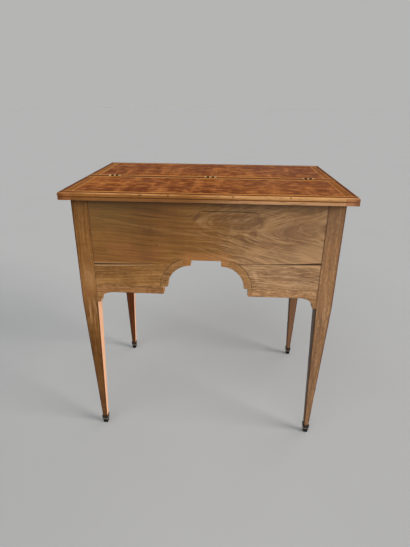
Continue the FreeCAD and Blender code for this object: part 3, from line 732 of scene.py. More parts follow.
# strip along the lower edge: dark underneath, blotched and paler on one side, a nailed line on top
stripMarks = {
    "underFade": (0.472, 0.4682), "underShare": 0.65, "under": (74, 46, 28),
    "sideFade": (-0.02, -0.15), "sideShare": 0.28, "side": (196, 156, 114),
    "fleckLeast": 0.4, "fleckMore": 0.3, "fleckDark": (80, 50, 26), "fleckLight": (180, 138, 92),
    "blotWaves": (45, 0, 110), "blotDark": (0.52, 0.62, 0.6, (96, 64, 40)),
    "blotLight": (0.46, 0.38, 0.5, (208, 172, 128)),
    "nailWaves": (60, 0, 160), "lineRise": (0.4865, 0.4890), "lineShare": (0.0, -0.05, 0.25, 0.75),
    "line": (66, 38, 20), "warmFade": (0.486, 0.478), "warmShare": 0.12, "warm": (164, 104, 62),
}
bandMarks = {"dark": (84, 54, 28), "light": (180, 140, 94), "fleckShare": 0.3,
             "warmRise": (0.545, 0.562), "warmShare": 0.2, "warm": (168, 114, 66)}
bracketMarks = {"dark": (84, 52, 28), "light": (180, 138, 92), "fleckShare": 0.3}
backArris = {"plank": 0.0007, "strip": 0.0009, "band": 0.0006}


def stripExtra(f, colour, rough, height):
    x, y, z = f.axes()
    marks = stripMarks
    colour = f.stain(colour, f.ramp(z, *marks["underFade"]) * marks["underShare"], marks["under"])
    nailed = f.ramp(f.pattern(marks["nailWaves"], 1.0, 0.5), 0.48, 0.58)
    toSide = f.ramp(x, *marks["sideFade"])
    fleckMask = toSide * marks["fleckMore"] + marks["fleckLeast"]
    colour = flecks(f, colour, fleckMask, 1.0, marks["fleckDark"], marks["fleckLight"])
    colour = f.stain(colour, toSide * marks["sideShare"], marks["side"])
    blot = f.pattern(marks["blotWaves"], 2.0, 0.5)
    colour = f.twoTone(colour, blot, marks["blotDark"], marks["blotLight"], toSide)
    line = f.ramp(z, *marks["lineRise"]) * nailed
    colour = f.stain(colour, line * f.slide(x, *marks["lineShare"]), marks["line"])
    colour = f.stain(colour, f.ramp(z, *marks["warmFade"]) * marks["warmShare"], marks["warm"])
    return paintedShadeAndJoints(f, colour), rough, height


def bandExtra(f, colour, rough, height):
    x, y, z = f.axes()
    colour = flecks(f, colour, 1.0, bandMarks["fleckShare"], bandMarks["dark"], bandMarks["light"])
    colour = f.stain(colour, f.ramp(z, *bandMarks["warmRise"]) * bandMarks["warmShare"], bandMarks["warm"])
    return paintedShadeAndJoints(f, colour), rough, height


def bracketExtra(f, colour, rough, height):
    colour = flecks(f, colour, 1.0, bracketMarks["fleckShare"], bracketMarks["dark"], bracketMarks["light"])
    return paintedShadeAndJoints(f, colour), rough, height


def buildBack():
    upper = wood("backUpperWood", upperExtra, **backLook["upper"])
    calm = wood("backLowerWoodCalm", lowerExtra, **backLook["lowerCalm"])
    swirled = wood("backLowerWoodSwirled", swirledExtra, **backLook["lowerSwirled"])
    strips = wood("backStripWood", stripExtra, **backLook["strips"])
    bands = wood("backBandWood", bandExtra, **backLook["bands"])
    soften("back_upper_plank", upper, backArris["plank"])
    soften("back_lower_plank_right", calm, backArris["plank"])
    soften("back_lower_plank_left", swirled, backArris["plank"])
    soften("back_bottom_strips", strips, backArris["strip"])
    soften("back_arch_band_left", bands, backArris["band"])
    soften("back_arch_band_right", bands, backArris["band"])


buildBack()
print("back planks ready")


# Legs: straight grain with reddish streaks, a little darker towards the floor

legLook = {
    "grain": "Z", "rings": 110.0, "bend": 0.012, "bendLong": 2.0, "figure": 0.2, "band": 0.45, "cloud": 0.7,
    "fibre": 1.3, "dark": (60, 34, 13), "middle": (109, 72, 32), "light": (163, 119, 68), "rough": 0.40,
    "gloss": 0.12, "rub": (66, 40, 24), "rubShare": 0.85,
}
calmLeg = {"fibre": 0.7, "band": 0.3, "figure": 0.12, "cloud": 0.9}
frontLeg = {"dark": (44, 14, 2), "middle": (86, 41, 14), "light": (124, 70, 34), "gloss": 0.08}
# takes each leg from another place of the tree
legShifts = {"leg_front_left": 0.3, "leg_front_right": 1.1, "leg_rear_left": 2.2, "leg_rear_right": 3.4}
legShiftShares = (1.0, 0.7, 1.3)
legForm = {"cupTop": 0.031, "taperTop": 0.4388, "halfToe": 0.00725, "halfWide": 0.021, "halfDeep": 0.019,
           "arris": 0.0016}
# waves to a metre
legPatterns = {
    "redStreak": ((90, 90, 3), 2.0, 0.5),
    "lines": ((240, 240, 9), 3.0, 0.65),
    "stain": ((40, 40, 14), 3.0, 0.6),
    "speck": ((300, 300, 100), 3.0, 0.6),
}
# the pale and knee tones are painted highlights, the dark tone at the top is painted shade
legTones = {
    "red": (120, 70, 30), "lineDark": (76, 48, 32), "lineLight": (186, 146, 106), "stain": (78, 48, 28),
    "low": (70, 46, 32), "pale": (174, 130, 84), "stileTopShade": (72, 44, 28), "kneeHighlight": (206, 166, 122),
    "speckDark": (62, 38, 18), "speckLight": (172, 128, 78), "underCase": (66, 42, 20),
    "grey": (140, 112, 98), "arris": (62, 36, 22),
}
legShares = {
    "lineDark": 0.6, "lineLight": 0.58, "stain": 0.4, "low": 0.42, "pale": 0.27, "stileTopShade": 0.24,
    "kneeHighlight": 0.34, "speckDark": 1.0, "speckLight": 0.8, "underCase": 0.16, "grey": 0.16, "arris": 0.72,
}
# where the marks fade in, across, front to back or up; four numbers make a slide
legFades = {
    "rear": (-0.1, 0.1, 0.2, 1.0), "redSide": (0.1, -0.1, 0.2, 0.4), "lineSide": (0.0, -0.1, 0.10, 0.95),
    "speckSide": (0.1, -0.1, 0.18, 0.62), "topSide": (0.0, 0.1), "greySide": (0.0, -0.2),
    "low": (0.26, 0.03), "paleUp": (0.62, 0.50), "paleDown": (0.40, 0.48), "top": (0.58, 0.72),
    "kneeHighlightUp": (0.46, 0.43), "kneeHighlightDown": (0.34, 0.41), "underCase": (0.47, 0.41),
    "free": (0.442, 0.436), "arris": (0.0042, 0.0014),
}
# patches on the stiles: place, radius, softness and stretch, then share and tone
legPatches = {
    "paleWedge": ((0.309, 0.505, 0.004, 0.016, 2.4), 0.32, (190, 148, 104)),
    "redStain": ((0.318, 0.470, 0.004, 0.014, 1.4), 0.30, (112, 60, 30)),
    "dusk": ((-0.308, 0.674, 0.008, 0.026, 1.6), 0.34, (100, 74, 64)),
    "amber": ((-0.314, 0.612, 0.004, 0.020, 1.5), 0.28, (176, 122, 72)),
}
# inner sides of the legs: painted light on the faces of one side's legs, painted shade on those of the others
innerSide = {"under": 0.440, "litInside": (188, 146, 118), "litInsideShare": 0.8, "shadedInside": (52, 36, 28),
             "grimeShare": 0.75}


# 1 along the four arrises of a leg, which stands at the given column and row
def legArris(f, column, row, stain):
    x, y, z = f.axes()
    form = legForm
    taper = f.ramp(z, form["cupTop"], form["taperTop"], False)
    aside = taper * (form["halfWide"] - form["halfToe"]) + form["halfToe"] - f.size(x - column)
    ahead = taper * (form["halfDeep"] - form["halfToe"]) + form["halfToe"] - f.size(y - row)
    # beside the planks there is no free arris
    outer = f.ramp(f.size(x), abs(column), abs(column) + 0.004)
    free = f.most(f.ramp(z, *legFades["free"]), outer)
    return f.ramp(f.most(aside, ahead), *legFades["arris"]) * f.ramp(stain, 0.24, 0.46) * free


def legExtra(f, colour, rough, height, column, row):
    x, y, z = f.axes()
    tones = legTones
    shares = legShares
    fades = legFades
    redStreak, lines, stain, speck = (f.pattern(*given) for given in legPatterns.values())
    rear = f.slide(y, *fades["rear"])
    redShare = f.ramp(redStreak, 0.48, 0.66) * f.slide(x, *fades["redSide"])
    colour = f.stain(colour, redShare, tones["red"])
    lined = f.slide(x, *fades["lineSide"])
    colour = f.twoTone(colour, lines, (0.52, 0.62, shares["lineDark"], tones["lineDark"]),
                       (0.48, 0.38, rear * shares["lineLight"], tones["lineLight"]), lined)
    for place, share, shade in legPatches.values():
        colour = f.stain(colour, spot(f, *place) * share, shade)
    colour = f.stain(colour, f.ramp(stain, 0.52, 0.68) * shares["stain"], tones["stain"])
    colour = f.stain(colour, f.ramp(z, *fades["low"]) * shares["low"], tones["low"])
    # painted highlight, a pale band on the rear legs near the foot of the stiles
    pale = f.ramp(z, *fades["paleUp"]) * f.ramp(z, *fades["paleDown"])
    colour = f.stain(colour, pale * rear * shares["pale"], tones["pale"])
    # painted shade, the stiles of one side darker towards the top under the top's overhang
    top = f.ramp(z, *fades["top"], False) * f.ramp(x, *fades["topSide"])
    colour = f.stain(colour, top * shares["stileTopShade"], tones["stileTopShade"])
    # painted highlight, light streaks at the knees of the rear legs
    kneeHighlight = f.ramp(z, *fades["kneeHighlightUp"]) * f.ramp(z, *fades["kneeHighlightDown"]) * f.ramp(lines, 0.53, 0.43)
    colour = f.stain(colour, kneeHighlight * rear * shares["kneeHighlight"], tones["kneeHighlight"])
    rougher = f.slide(x, *fades["speckSide"])
    colour = f.twoTone(colour, speck, (0.53, 0.65, shares["speckDark"], tones["speckDark"]),
                       (0.47, 0.35, rear * shares["speckLight"], tones["speckLight"]), rougher)
    colour = f.stain(colour, f.ramp(z, *fades["underCase"]) * shares["underCase"], tones["underCase"])
    colour = f.stain(colour, f.ramp(x, *fades["greySide"]) * shares["grey"], tones["grey"])
    colour = paintedShadeAndJoints(f, colour)
    colour = f.stain(colour, legArris(f, column, row, stain) * shares["arris"], tones["arris"])

    below = f.ramp(z, innerSide["under"], innerSide["under"] - 0.004)
    faces = f.facing()
    # painted light on inner faces turned towards the low side lamp, painted shade on those turned away
    litInside = f.ramp(faces, -0.7, -0.9) * f.ramp(x, 0.0, 0.1) * below
    colour = f.stain(colour, litInside * innerSide["litInsideShare"], innerSide["litInside"])
    shadedInside = f.ramp(faces, 0.7, 0.9) * f.ramp(x, 0.0, -0.1) * below
    return f.stain(colour, shadedInside * innerSide["grimeShare"], innerSide["shadedInside"]), rough, height


def buildLegs():
    for node, shift in legShifts.items():
        changes = frontLeg if "front" in node else calmLeg if "right" in node else {}
        low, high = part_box(node)
        axis = ((low[0] + high[0]) / 2, (low[1] + high[1]) / 2)
        shifts = tuple(shift * share for share in legShiftShares)
        material = wood(f"{node}_grain", lambda *given: legExtra(*given, *axis),
                        **{**legLook, **changes, "shift": shifts})
        soften(node, material, legForm["arris"])


buildLegs()
print("legs ready")


# Case: sides, front frame, drawer fronts and brackets in the same red-brown wood

caseLook = {
    "rings": 60.0, "bend": 0.04, "figure": 0.3, "dark": (62, 30, 14), "middle": (108, 62, 33),
    "light": (148, 94, 54), "rub": (176, 120, 72), "rough": 0.36, "coat": 0.05, "gloss": 0.2,
}
caseGrain = {
    "sides": {"grain": "Y", "shift": (0.7, 0.3, 0.2)},
    "uprights": {"grain": "Z", "shift": (1.9, 0.8, 0.5)},
    "rails": {"shift": (2.6, 0.1, 1.2)},
    "fronts": {"shift": (4.2, 0.6, 0.9), "figure": 0.5, "bend": 0.07},
    "brackets": {"shift": (0.9, 0.6, 0.3)},
}
drawerFrontArris = 0.0012


def buildCase():
    sides = wood("sideWood", **{**caseLook, **caseGrain["sides"]})
    uprights = wood("uprightWood", **{**caseLook, **caseGrain["uprights"]})
    rails = wood("railWood", **{**caseLook, **caseGrain["rails"]})
    fronts = wood("drawerFrontWood", **{**caseLook, **caseGrain["fronts"]})
    brackets = wood("bracketWood", bracketExtra, **{**backLook["strips"], **caseGrain["brackets"]})
    for node in ("side_panel_left", "side_panel_right"):
        soften(node, sides)
    soften("front_posts", uprights)
    for node in ("front_bottom_rails", "front_arch_brackets", "front_centre_rail", "front_frieze"):
        soften(node, rails)
    for hand in ("left", "right", "centre"):
        soften(f"drawer_{hand}_front", fronts, drawerFrontArris)
    soften("corner_brackets", brackets)


buildCase()
print("case ready")


# Inside: bare boards

innerLook = {
    "rings": 75.0, "figure": 0.36, "dark": (132, 94, 58), "middle": (176, 138, 96),
    "light": (208, 174, 132), "rub": (214, 184, 142), "rough": 0.66, "cloud": 0.4, "pores": 0.3,
}
innerShifts = {"X": (0.0, 0.4, 0.8), "Y": (1.7, 0.4, 0.8)}
innerBoards = {
    "X": ["kneehole_soffit", "well_floor", "well_back", "drawer_left_back", "drawer_right_back",
          "drawer_centre_back", "drawer_stops"],
    "Y": ["kneehole_walls", "pedestal_bottoms", "drawer_guides", "well_dividers", "drawer_left_sides",
          "drawer_left_bottom", "drawer_right_sides", "drawer_right_bottom", "drawer_centre_sides",
          "drawer_centre_bottom"],
}
innerArris = 0.0006


def buildInside():
    for axis, boards in innerBoards.items():
        material = wood(f"innerWood{axis}", **{**innerLook, "grain": axis, "shift": innerShifts[axis]})
        for node in boards:
            soften(node, material, innerArris)


buildInside()
print("inside ready")


# Top: figured veneer with painted sheen and painted reflection, in a golden string, polished, with a moulded
# edge whose arris carries a painted highlight with wear and whose rounded sides carry painted shade

topLook = {
    "field": {"rings": 50.0, "bend": 0.05, "figure": 0.3, "band": 1.2, "cloud": 0.8, "cloudScale": 8.0,
              "dark": (78, 30, 2), "middle": (118, 64, 17), "light": (166, 104, 44), "rough": 0.30,
              "gloss": 0.003, "pores": 0.35, "rub": (190, 130, 70)},
    "board": {"rings": 70.0, "figure": 0.3, "dark": (84, 40, 10), "middle": (127, 75, 28),
              "light": (172, 114, 54), "rough": 0.34, "gloss": 0.004},
    "endCap": {"grain": "Y", "rings": 80.0, "figure": 0.3, "dark": (88, 46, 14), "middle": (138, 85, 36),
               "light": (180, 122, 62), "rough": 0.34, "gloss": 0.004, "shift": (2.2, 0.3, 0.4)},
    "string": {"rings": 120.0, "figure": 0.1, "dark": (150, 96, 36), "middle": (198, 140, 68),
               "light": (224, 170, 98), "rough": 0.34, "gloss": 0.004, "pores": 0.1},
}
fieldShifts = {"rear_leaf": (0.2, 0.0, 0.1), "flap": (1.5, 0.7, 0.1)}
# broad bands, partly figure and partly painted reflection, and fine mottle in the veneer, waves to a metre
fieldMarks = {
    "bandWaves": (38, 5, 1), "bandDark": (0.50, 0.62, 0.45, (96, 42, 6)),
    "bandLight": (0.48, 0.36, 0.38, (176, 112, 54)),
    "mottleWaves": (34, 80, 1), "mottleDark": (0.50, 0.60, 0.5, (88, 36, 4)),
    "mottleLight": (0.48, 0.38, 0.48, (186, 118, 60)),
    # painted sheen, paler towards one side
    "paleFade": (0.05, -0.20), "paleShare": 0.07, "pale": (176, 126, 96),
}
edgeForm = {"halfWide": 0.356, "halfDeep": 0.245, "high": 0.740, "quirk": 0.7294, "split": 0.017}
# marks of the edge: how far in, along or up they fade, then their shares and tones
edgeMarks = {
    "face": (0.004, 0.001), "faceShare": 0.5, "faceTone": (134, 94, 54),
    "onTop": (0.7375, 0.7395),
    "palerFade": (0.06, -0.16),
    # the arris marks place a painted highlight, broken by wear
    "arrisIn": (0.0034, 0.0012), "arrisUp": (-0.0044, -0.0022), "arrisLower": 0.0030,
    "chipShare": 0.55, "palerShare": 0.25, "arrisHighlightTone": (200, 154, 104),
    "lineIn": (0.0125, 0.0105), "lineOut": (0.0022, 0.0036), "lineShare": 0.85, "lineTone": (78, 32, 8),
    "goldIn": (0.0118, 0.0130), "goldOut": (0.020, 0.018), "goldShare": 0.6, "goldTone": (200, 138, 66),
    "overQuirk": (0.0012, 0.0026), "overShare": (0.06, 0.5), "overTone": (196, 152, 104),
    "lowBand": (-0.0005, -0.0015), "lowShare": 0.5, "lowTone": (112, 80, 52), "lowPaleTone": (206, 166, 128),
    "quirkHalf": (0.0015, 0.0004), "quirkShare": 0.85, "quirkLess": 0.35, "quirkTone": (60, 34, 16),
    "darkEnd": (0.262, 0.335), "darkEndFace": 0.3, "darkEndTop": 0.25, "darkEndTone": (78, 46, 22),
    "paleEnd": (-0.305, -0.345), "paleEndShare": 0.25, "paleEndTone": (194, 144, 120),
    "grimeShare": 0.4, "grimeTone": (84, 50, 26),
    # painted shade on the top's rounded sides
    "sideRoundShade": (0.012, 0.006), "sideShare": 0.5, "sideShadeTone": (92, 56, 34),
}
# lines beside the split between the leaves, by their distance from it
splitMarks = {
    "gold": (0.0180, 0.0172), "goldShare": 0.65, "goldTone": (200, 138, 72),
    "dark": (0.0118, 0.0105), "darkShare": 0.8, "darkTone": (70, 28, 6),
    "gap": (0.0030, 0.0014), "gapShare": (0.30, 0.26, 0.40, 0.85), "gapTone": (44, 18, 6),
}
# nicks in the edge: place along it and half length
edgeNicks = {"places": ((0.157, 0.006), (0.090, 0.004), (-0.063, 0.003), (-0.197, 0.003)),
             "depth": (0.243, 0.244), "height": 0.7365, "halfTall": (0.0032, 0.0012), "share": 0.55,
             "tone": (50, 26, 12)}
# end grain on the caps' front and back ends, by its depth there
capEnds = {"grain": (0.0008, 0.0002), "share": 0.55, "dark": (92, 46, 26), "light": (170, 112, 70),
           "speck": 700.0, "cornerFade": (0.336, 0.352), "cornerShare": 0.5, "corner": (72, 40, 24)}
# the strings beside the end caps have gone dull
dullString = {"from": 0.004, "to": 0.002, "share": (0.1, -0.1, 0.40, 0.55), "tone": (140, 84, 42)}


def mottleAndSheenExtra(f, colour, rough, height):
    x, y, z = f.axes()
    marks = fieldMarks
    # broad bands, figure with painted reflection
    bands = f.pattern(marks["bandWaves"])
    colour = f.twoTone(colour, bands, marks["bandDark"], marks["bandLight"])
    mottle = f.pattern(marks["mottleWaves"], 3.0, 0.65)
    colour = f.twoTone(colour, mottle, marks["mottleDark"], marks["mottleLight"])
    # painted sheen, paler towards one side
    colour = f.stain(colour, f.ramp(x, *marks["paleFade"]) * marks["paleShare"], marks["pale"])
    return colour, rough + (bands - 0.5) * 0.1, height * 0.5


def edgeExtra(f, colour, rough, height):
    x, y, z = f.axes()
    marks = edgeMarks
    fromSide = edgeForm["halfWide"] - f.size(x)
    fromFront = edgeForm["halfDeep"] - f.size(y)
    inward = f.least(fromSide, fromFront)
    outside = f.ramp(inward, *marks["face"])
    onTop = f.ramp(z, *marks["onTop"])
    paler = f.ramp(x, *marks["palerFade"])
    overQuirk = z - edgeForm["quirk"]

    # painted highlight with wear along the arris, lower down on the paler side
    chips = f.pattern((12, 12, 300))
    lip = paler * marks["arrisLower"] + (z - edgeForm["high"])
    arrisHighlight = f.ramp(inward, *marks["arrisIn"]) * f.ramp(lip, *marks["arrisUp"])
    worn = f.ramp(chips, 0.38, 0.60) * marks["chipShare"] + paler * marks["palerShare"]
    colour = f.stain(colour, outside * marks["faceShare"], marks["faceTone"])
    colour = f.stain(colour, arrisHighlight * worn, marks["arrisHighlightTone"])

    # dark and golden lines just inside it
    darkLine = f.ramp(inward, *marks["lineIn"]) * f.ramp(inward, *marks["lineOut"]) * onTop
    colour = f.stain(colour, darkLine * marks["lineShare"], marks["lineTone"])
    goldLine = f.ramp(fromFront, *marks["goldIn"]) * f.ramp(fromFront, *marks["goldOut"])
    colour = f.stain(colour, goldLine * onTop * marks["goldShare"], marks["goldTone"])

    # the face: quirk, what is above and below it, both ends and grime
    least, more = marks["overShare"]
    above = f.ramp(overQuirk, *marks["overQuirk"]) * outside
    colour = f.stain(colour, above * (paler * more + least), marks["overTone"])
    below = f.ramp(overQuirk, *marks["lowBand"]) * outside
    belowTone = f.mix(paler, tone(*marks["lowTone"]), tone(*marks["lowPaleTone"]))
    colour = f.mix(below * marks["lowShare"], colour, belowTone)
    quirk = f.ramp(f.size(overQuirk), *marks["quirkHalf"]) * outside
    colour = f.stain(colour, quirk * (marks["quirkShare"] - paler * marks["quirkLess"]), marks["quirkTone"])
    endShare = outside * marks["darkEndFace"] + onTop * marks["darkEndTop"]
    colour = f.stain(colour, f.ramp(x, *marks["darkEnd"]) * endShare, marks["darkEndTone"])
    paleEnd = f.ramp(x, *marks["paleEnd"]) * outside
    colour = f.stain(colour, paleEnd * marks["paleEndShare"], marks["paleEndTone"])
    grime = f.ramp(f.pattern((30, 30, 260)), 0.54, 0.68)
    colour = f.stain(colour, grime * outside * marks["grimeShare"], marks["grimeTone"])

    beside = f.size(y - edgeForm["split"])
    for line in ("gold", "dark"):
        mask = f.ramp(beside, *splitMarks[line]) * onTop
        colour = f.stain(colour, mask * splitMarks[f"{line}Share"], splitMarks[f"{line}Tone"])
    gapShare = f.slide(f.size(x), *splitMarks["gapShare"])
    colour = f.stain(colour, f.ramp(beside, *splitMarks["gap"]) * gapShare, splitMarks["gapTone"])
    # painted shade where the rounded side edges of the top fall away
    sideRoundShade = f.ramp(fromSide, *marks["sideRoundShade"]) * onTop
    colour = f.stain(colour, sideRoundShade * marks["sideShare"], marks["sideShadeTone"])
    for place, half in edgeNicks["places"]:
        nick = f.ramp(f.size(x - place), half, half * 0.4) * f.ramp(y, *edgeNicks["depth"])
        nick = nick * f.ramp(f.size(z - edgeNicks["height"]), *edgeNicks["halfTall"])
        colour = f.stain(colour, nick * edgeNicks["share"], edgeNicks["tone"])
    return colour, rough + arrisHighlight * 0.05, height - quirk * 0.5


def endGrainExtra(f, colour, rough, height):
    x, y, z = f.axes()
    colour, rough, height = edgeExtra(f, colour, rough, height)
    shallow, deep = capEnds["grain"]
    ends = f.ramp(f.size(y), edgeForm["halfDeep"] - shallow, edgeForm["halfDeep"] - deep)
    specks = f.mix(f.even(capEnds["speck"], 2.0, 0.5), tone(*capEnds["dark"]), tone(*capEnds["light"]))
    colour = f.mix(ends * capEnds["share"], colour, specks)
    corner = f.ramp(f.size(x), *capEnds["cornerFade"]) * ends
    return f.stain(colour, corner * capEnds["cornerShare"], capEnds["corner"]), rough, height


def stringExtra(f, colour, rough, height):
    x, y, z = f.axes()
    low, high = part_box("flap_stringing")
    besideCap = f.ramp(f.size(x), high[0] - dullString["from"], high[0] - dullString["to"])
    return f.stain(colour, besideCap * f.slide(x, *dullString["share"]), dullString["tone"]), rough, height


def buildTop():
    board = wood("topBoardWood", edgeExtra, **topLook["board"])
    caps = wood("topCapWood", endGrainExtra, **topLook["endCap"])
    string = wood("stringWood", stringExtra, **topLook["string"])
    for leaf, shift in fieldShifts.items():
        paint(f"{leaf}_board", board)
        paint(f"{leaf}_end_caps", caps)
        paint(f"{leaf}_stringing", string)
        paint(f"{leaf}_veneer", wood(f"{leaf}_figure", mottleAndSheenExtra, **{**topLook["field"], "shift": shift}))


buildTop()
print("top ready")


# Metal: brass hinges painted lit on one leaf and shaded on the other, dark cups and thin light rings on the
# toes

metalLook = {
    "hingeBright": {"base": (206, 172, 126), "stain": (122, 88, 54), "rough": 0.40, "metal": 0.7},
    "hingeShaded": {"base": (84, 58, 34), "stain": (44, 28, 16), "rough": 0.5, "metal": 0.7},
    "pin": {"base": (120, 92, 54), "stain": (60, 44, 26), "rough": 0.5, "metal": 0.9},
    "cup": {"base": (60, 50, 44), "stain": (26, 21, 19), "rough": 0.50, "metal": 0.6},
    "ring": {"base": (150, 142, 128), "stain": (92, 82, 68), "rough": 0.36, "metal": 0.85},
    "patinaScale": 260.0, "rubScale": 900.0, "rubbedTo": 1.3,
}
blockLook = {"dark": (13, 12, 12), "scuffed": (42, 39, 36), "worn": (70, 65, 60), "scuffScale": 220.0,
             "rough": 0.6, "gloss": 0.2}
toeArris = {"cup": 0.0005, "ring": 0.0005, "block": 0.0006}


def metal(name, look):
    f = Finish(name)
    patina = f.even(metalLook["patinaScale"], 4.0)
    rubbed = f.even(metalLook["rubScale"], 2.0, 0.5)
    colour = f.mix(f.ramp(patina, 0.42, 0.66), tone(*look["base"]), tone(*look["stain"]))
    bright = [min(255, part * metalLook["rubbedTo"]) for part in look["base"]]
    colour = f.stain(colour, f.attribute("wear") * 0.5, bright)
    rough = look["rough"] + (patina - 0.5) * 0.4 + (rubbed - 0.5) * 0.1
    return f.finish(colour, rough, rubbed, 0.0002, 0.3, metal=look["metal"])


def ebonised():
    f = Finish("blockEbonised")
    x, y, z = f.axes()
    scuff = f.noise(f.point(x, y, z * 2), blockLook["scuffScale"], 4.0, 0.6)
    grey = f.mix(f.ramp(scuff, 0.5, 0.75) * 0.6, tone(*blockLook["dark"]), tone(*blockLook["scuffed"]))
    grey = f.stain(grey, f.attribute("wear") * 0.4, blockLook["worn"])
    rough = blockLook["rough"] + (scuff - 0.5) * 0.3
    return f.finish(grey, rough, scuff, 0.0003, 0.3, gloss=blockLook["gloss"])


def buildMetal():
    # the same brass, painted lit on the fixed leaves and shaded on the moving ones
    paint("hinge_fixed_leaves", metal("hingeBrightBrass", metalLook["hingeBright"]))
    paint("hinge_moving_leaves", metal("hingeShadedBrass", metalLook["hingeShaded"]))
    pin = metal("hingePinMetal", metalLook["pin"])
    for node in ("hinge_pins", "hinge_fixed_screws", "hinge_moving_screws"):
        paint(node, pin)
    soften("toe_ferrules", metal("cupMetal", metalLook["cup"]), toeArris["cup"])
    soften("ferrule_rings", metal("ringMetal", metalLook["ring"]), toeArris["ring"])
    soften("toe_blocks", ebonised(), toeArris["block"])


buildMetal()
print("metal ready")


# Leather on the folding leaf and baize in the well

leatherLook = {
    "hide": (44, 66, 46), "hideDark": (24, 40, 28), "pebbles": 700.0, "rough": 0.5,
    "gilt": (176, 142, 76), "giltInset": 0.012, "giltHalf": 0.0009, "giltSoft": 0.0004, "giltShare": 0.8,
}
baizeLook = {"felt": (52, 74, 54), "dark": 0.6, "napScale": 900.0, "feltScale": 30.0, "rough": 0.95}


def leather():
    low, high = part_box("flap_leather")
    middle = [(a + b) / 2 for a, b in zip(low, high)]
    half = [(b - a) / 2 for a, b in zip(low, high)]
    look = leatherLook
    f = Finish("writingLeather")
    x, y, z = f.axes()
    pebble = f.make("ShaderNodeTexVoronoi", {"feature": "DISTANCE_TO_EDGE"},
                    {"Vector": f.point(x, y, z), "Scale": look["pebbles"]})
    crease = f.ramp(pebble, 0.02, 0.14)
    cloud = f.even(11.0, 4.0)
    colour = f.mix(f.ramp(cloud, 0.35, 0.68), tone(*look["hideDark"]), tone(*look["hide"]))
    # gilt line, rubbed thin in places
    inward = f.least(half[0] - f.size(x - middle[0]), half[1] - f.size(y - middle[1]))
    offLine = f.size(inward - look["giltInset"])
    gilt = f.ramp(offLine, look["giltHalf"] + look["giltSoft"], look["giltHalf"])
    gilt = gilt * f.ramp(f.even(160.0, 3.0), 0.3, 0.5)
    colour = f.stain(colour, gilt * look["giltShare"], look["gilt"])
    rough = look["rough"] - gilt * 0.15 + (cloud - 0.5) * 0.2
    return f.finish(colour, rough, crease, 0.0003, 0.4)


def baize():
    f = Finish("baizeLining")
    nap = f.even(baizeLook["napScale"], 3.0, 0.7)
    felt = f.even(baizeLook["feltScale"], 3.0)
    dark = [part * baizeLook["dark"] for part in baizeLook["felt"]]
    colour = f.mix(nap * 0.5 + felt * 0.3, tone(*baizeLook["felt"]), tone(*dark))
    return f.finish(colour, baizeLook["rough"], nap, 0.0004, 0.5)


paint("flap_leather", leather())
paint("well_lining", baize())
print("linings ready")


# Knobs: turned wood, a rosette, a waist and a domed head

knobLook = {
    "sides": 40,
    # places along the knob and radii, as shares of its length and of its greatest radius
    "profileShares": (
        (0.0, 0.98), (0.05, 1.0), (0.09, 0.94), (0.10, 0.80), (0.13, 0.74), (0.17, 0.52), (0.25, 0.40),
        (0.38, 0.37), (0.46, 0.46), (0.50, 0.60), (0.53, 0.66), (0.56, 0.80), (0.62, 0.93), (0.70, 0.95),
        (0.80, 0.86), (0.90, 0.62), (0.95, 0.42), (0.965, 0.38), (0.985, 0.30), (0.99, 0.16), (1.0, 0.08),
    ),
    "wood": {"grain": "Y", "rings": 220.0, "bend": 0.006, "figure": 0.3, "dark": (58, 28, 16),
             "middle": (96, 54, 32), "light": (136, 84, 54), "rough": 0.3, "coat": 0.3},
}


def turnKnobs(node, material, columns):
    low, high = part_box(node)
    length = high[1] - low[1]
    radius = (high[2] - low[2]) / 2
    height = (high[2] + low[2]) / 2
    count = knobLook["sides"]
    work = bmesh.new()
    for column in columns:
        rings = []
        for place, wide in knobLook["profileShares"]:
            ring = []
            for step in range(count):
                angle = math.tau * step / count
                spread = wide * radius
                ring.append(work.verts.new((column + math.cos(angle) * spread, high[1] - place * length,
                                            height + math.sin(angle) * spread)))
            rings.append(ring)
        for near, far in zip(rings, rings[1:]):
            for step in range(count):
                after = (step + 1) % count
                work.faces.new((near[step], near[after], far[after], far[step]))
        work.faces.new(rings[0])
        work.faces.new(rings[-1])
    bmesh.ops.recalc_face_normals(work, faces=work.faces)
    for face in work.faces:
        face.smooth = True
    mesh = bpy.data.meshes.new(f"{node}_turned")
    work.to_mesh(mesh)
    work.free()
    mesh.materials.append(material)
    standIn(bpy.data.objects.new(f"{node}_turned", mesh), node)


def buildKnobs():
    material = wood("knobWood", **knobLook["wood"])
    for hand in ("left", "right"):
        low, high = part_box(f"drawer_{hand}_knob")
        turnKnobs(f"drawer_{hand}_knob", material, [(low[0] + high[0]) / 2])
    low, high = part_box("drawer_centre_knobs")
    radius = (high[2] - low[2]) / 2
    turnKnobs("drawer_centre_knobs", material, [low[0] + radius, high[0] - radius])


buildKnobs()
print("knobs ready")


# Geometry Nodes: inlaid string round each drawer front, and dovetails at its ends

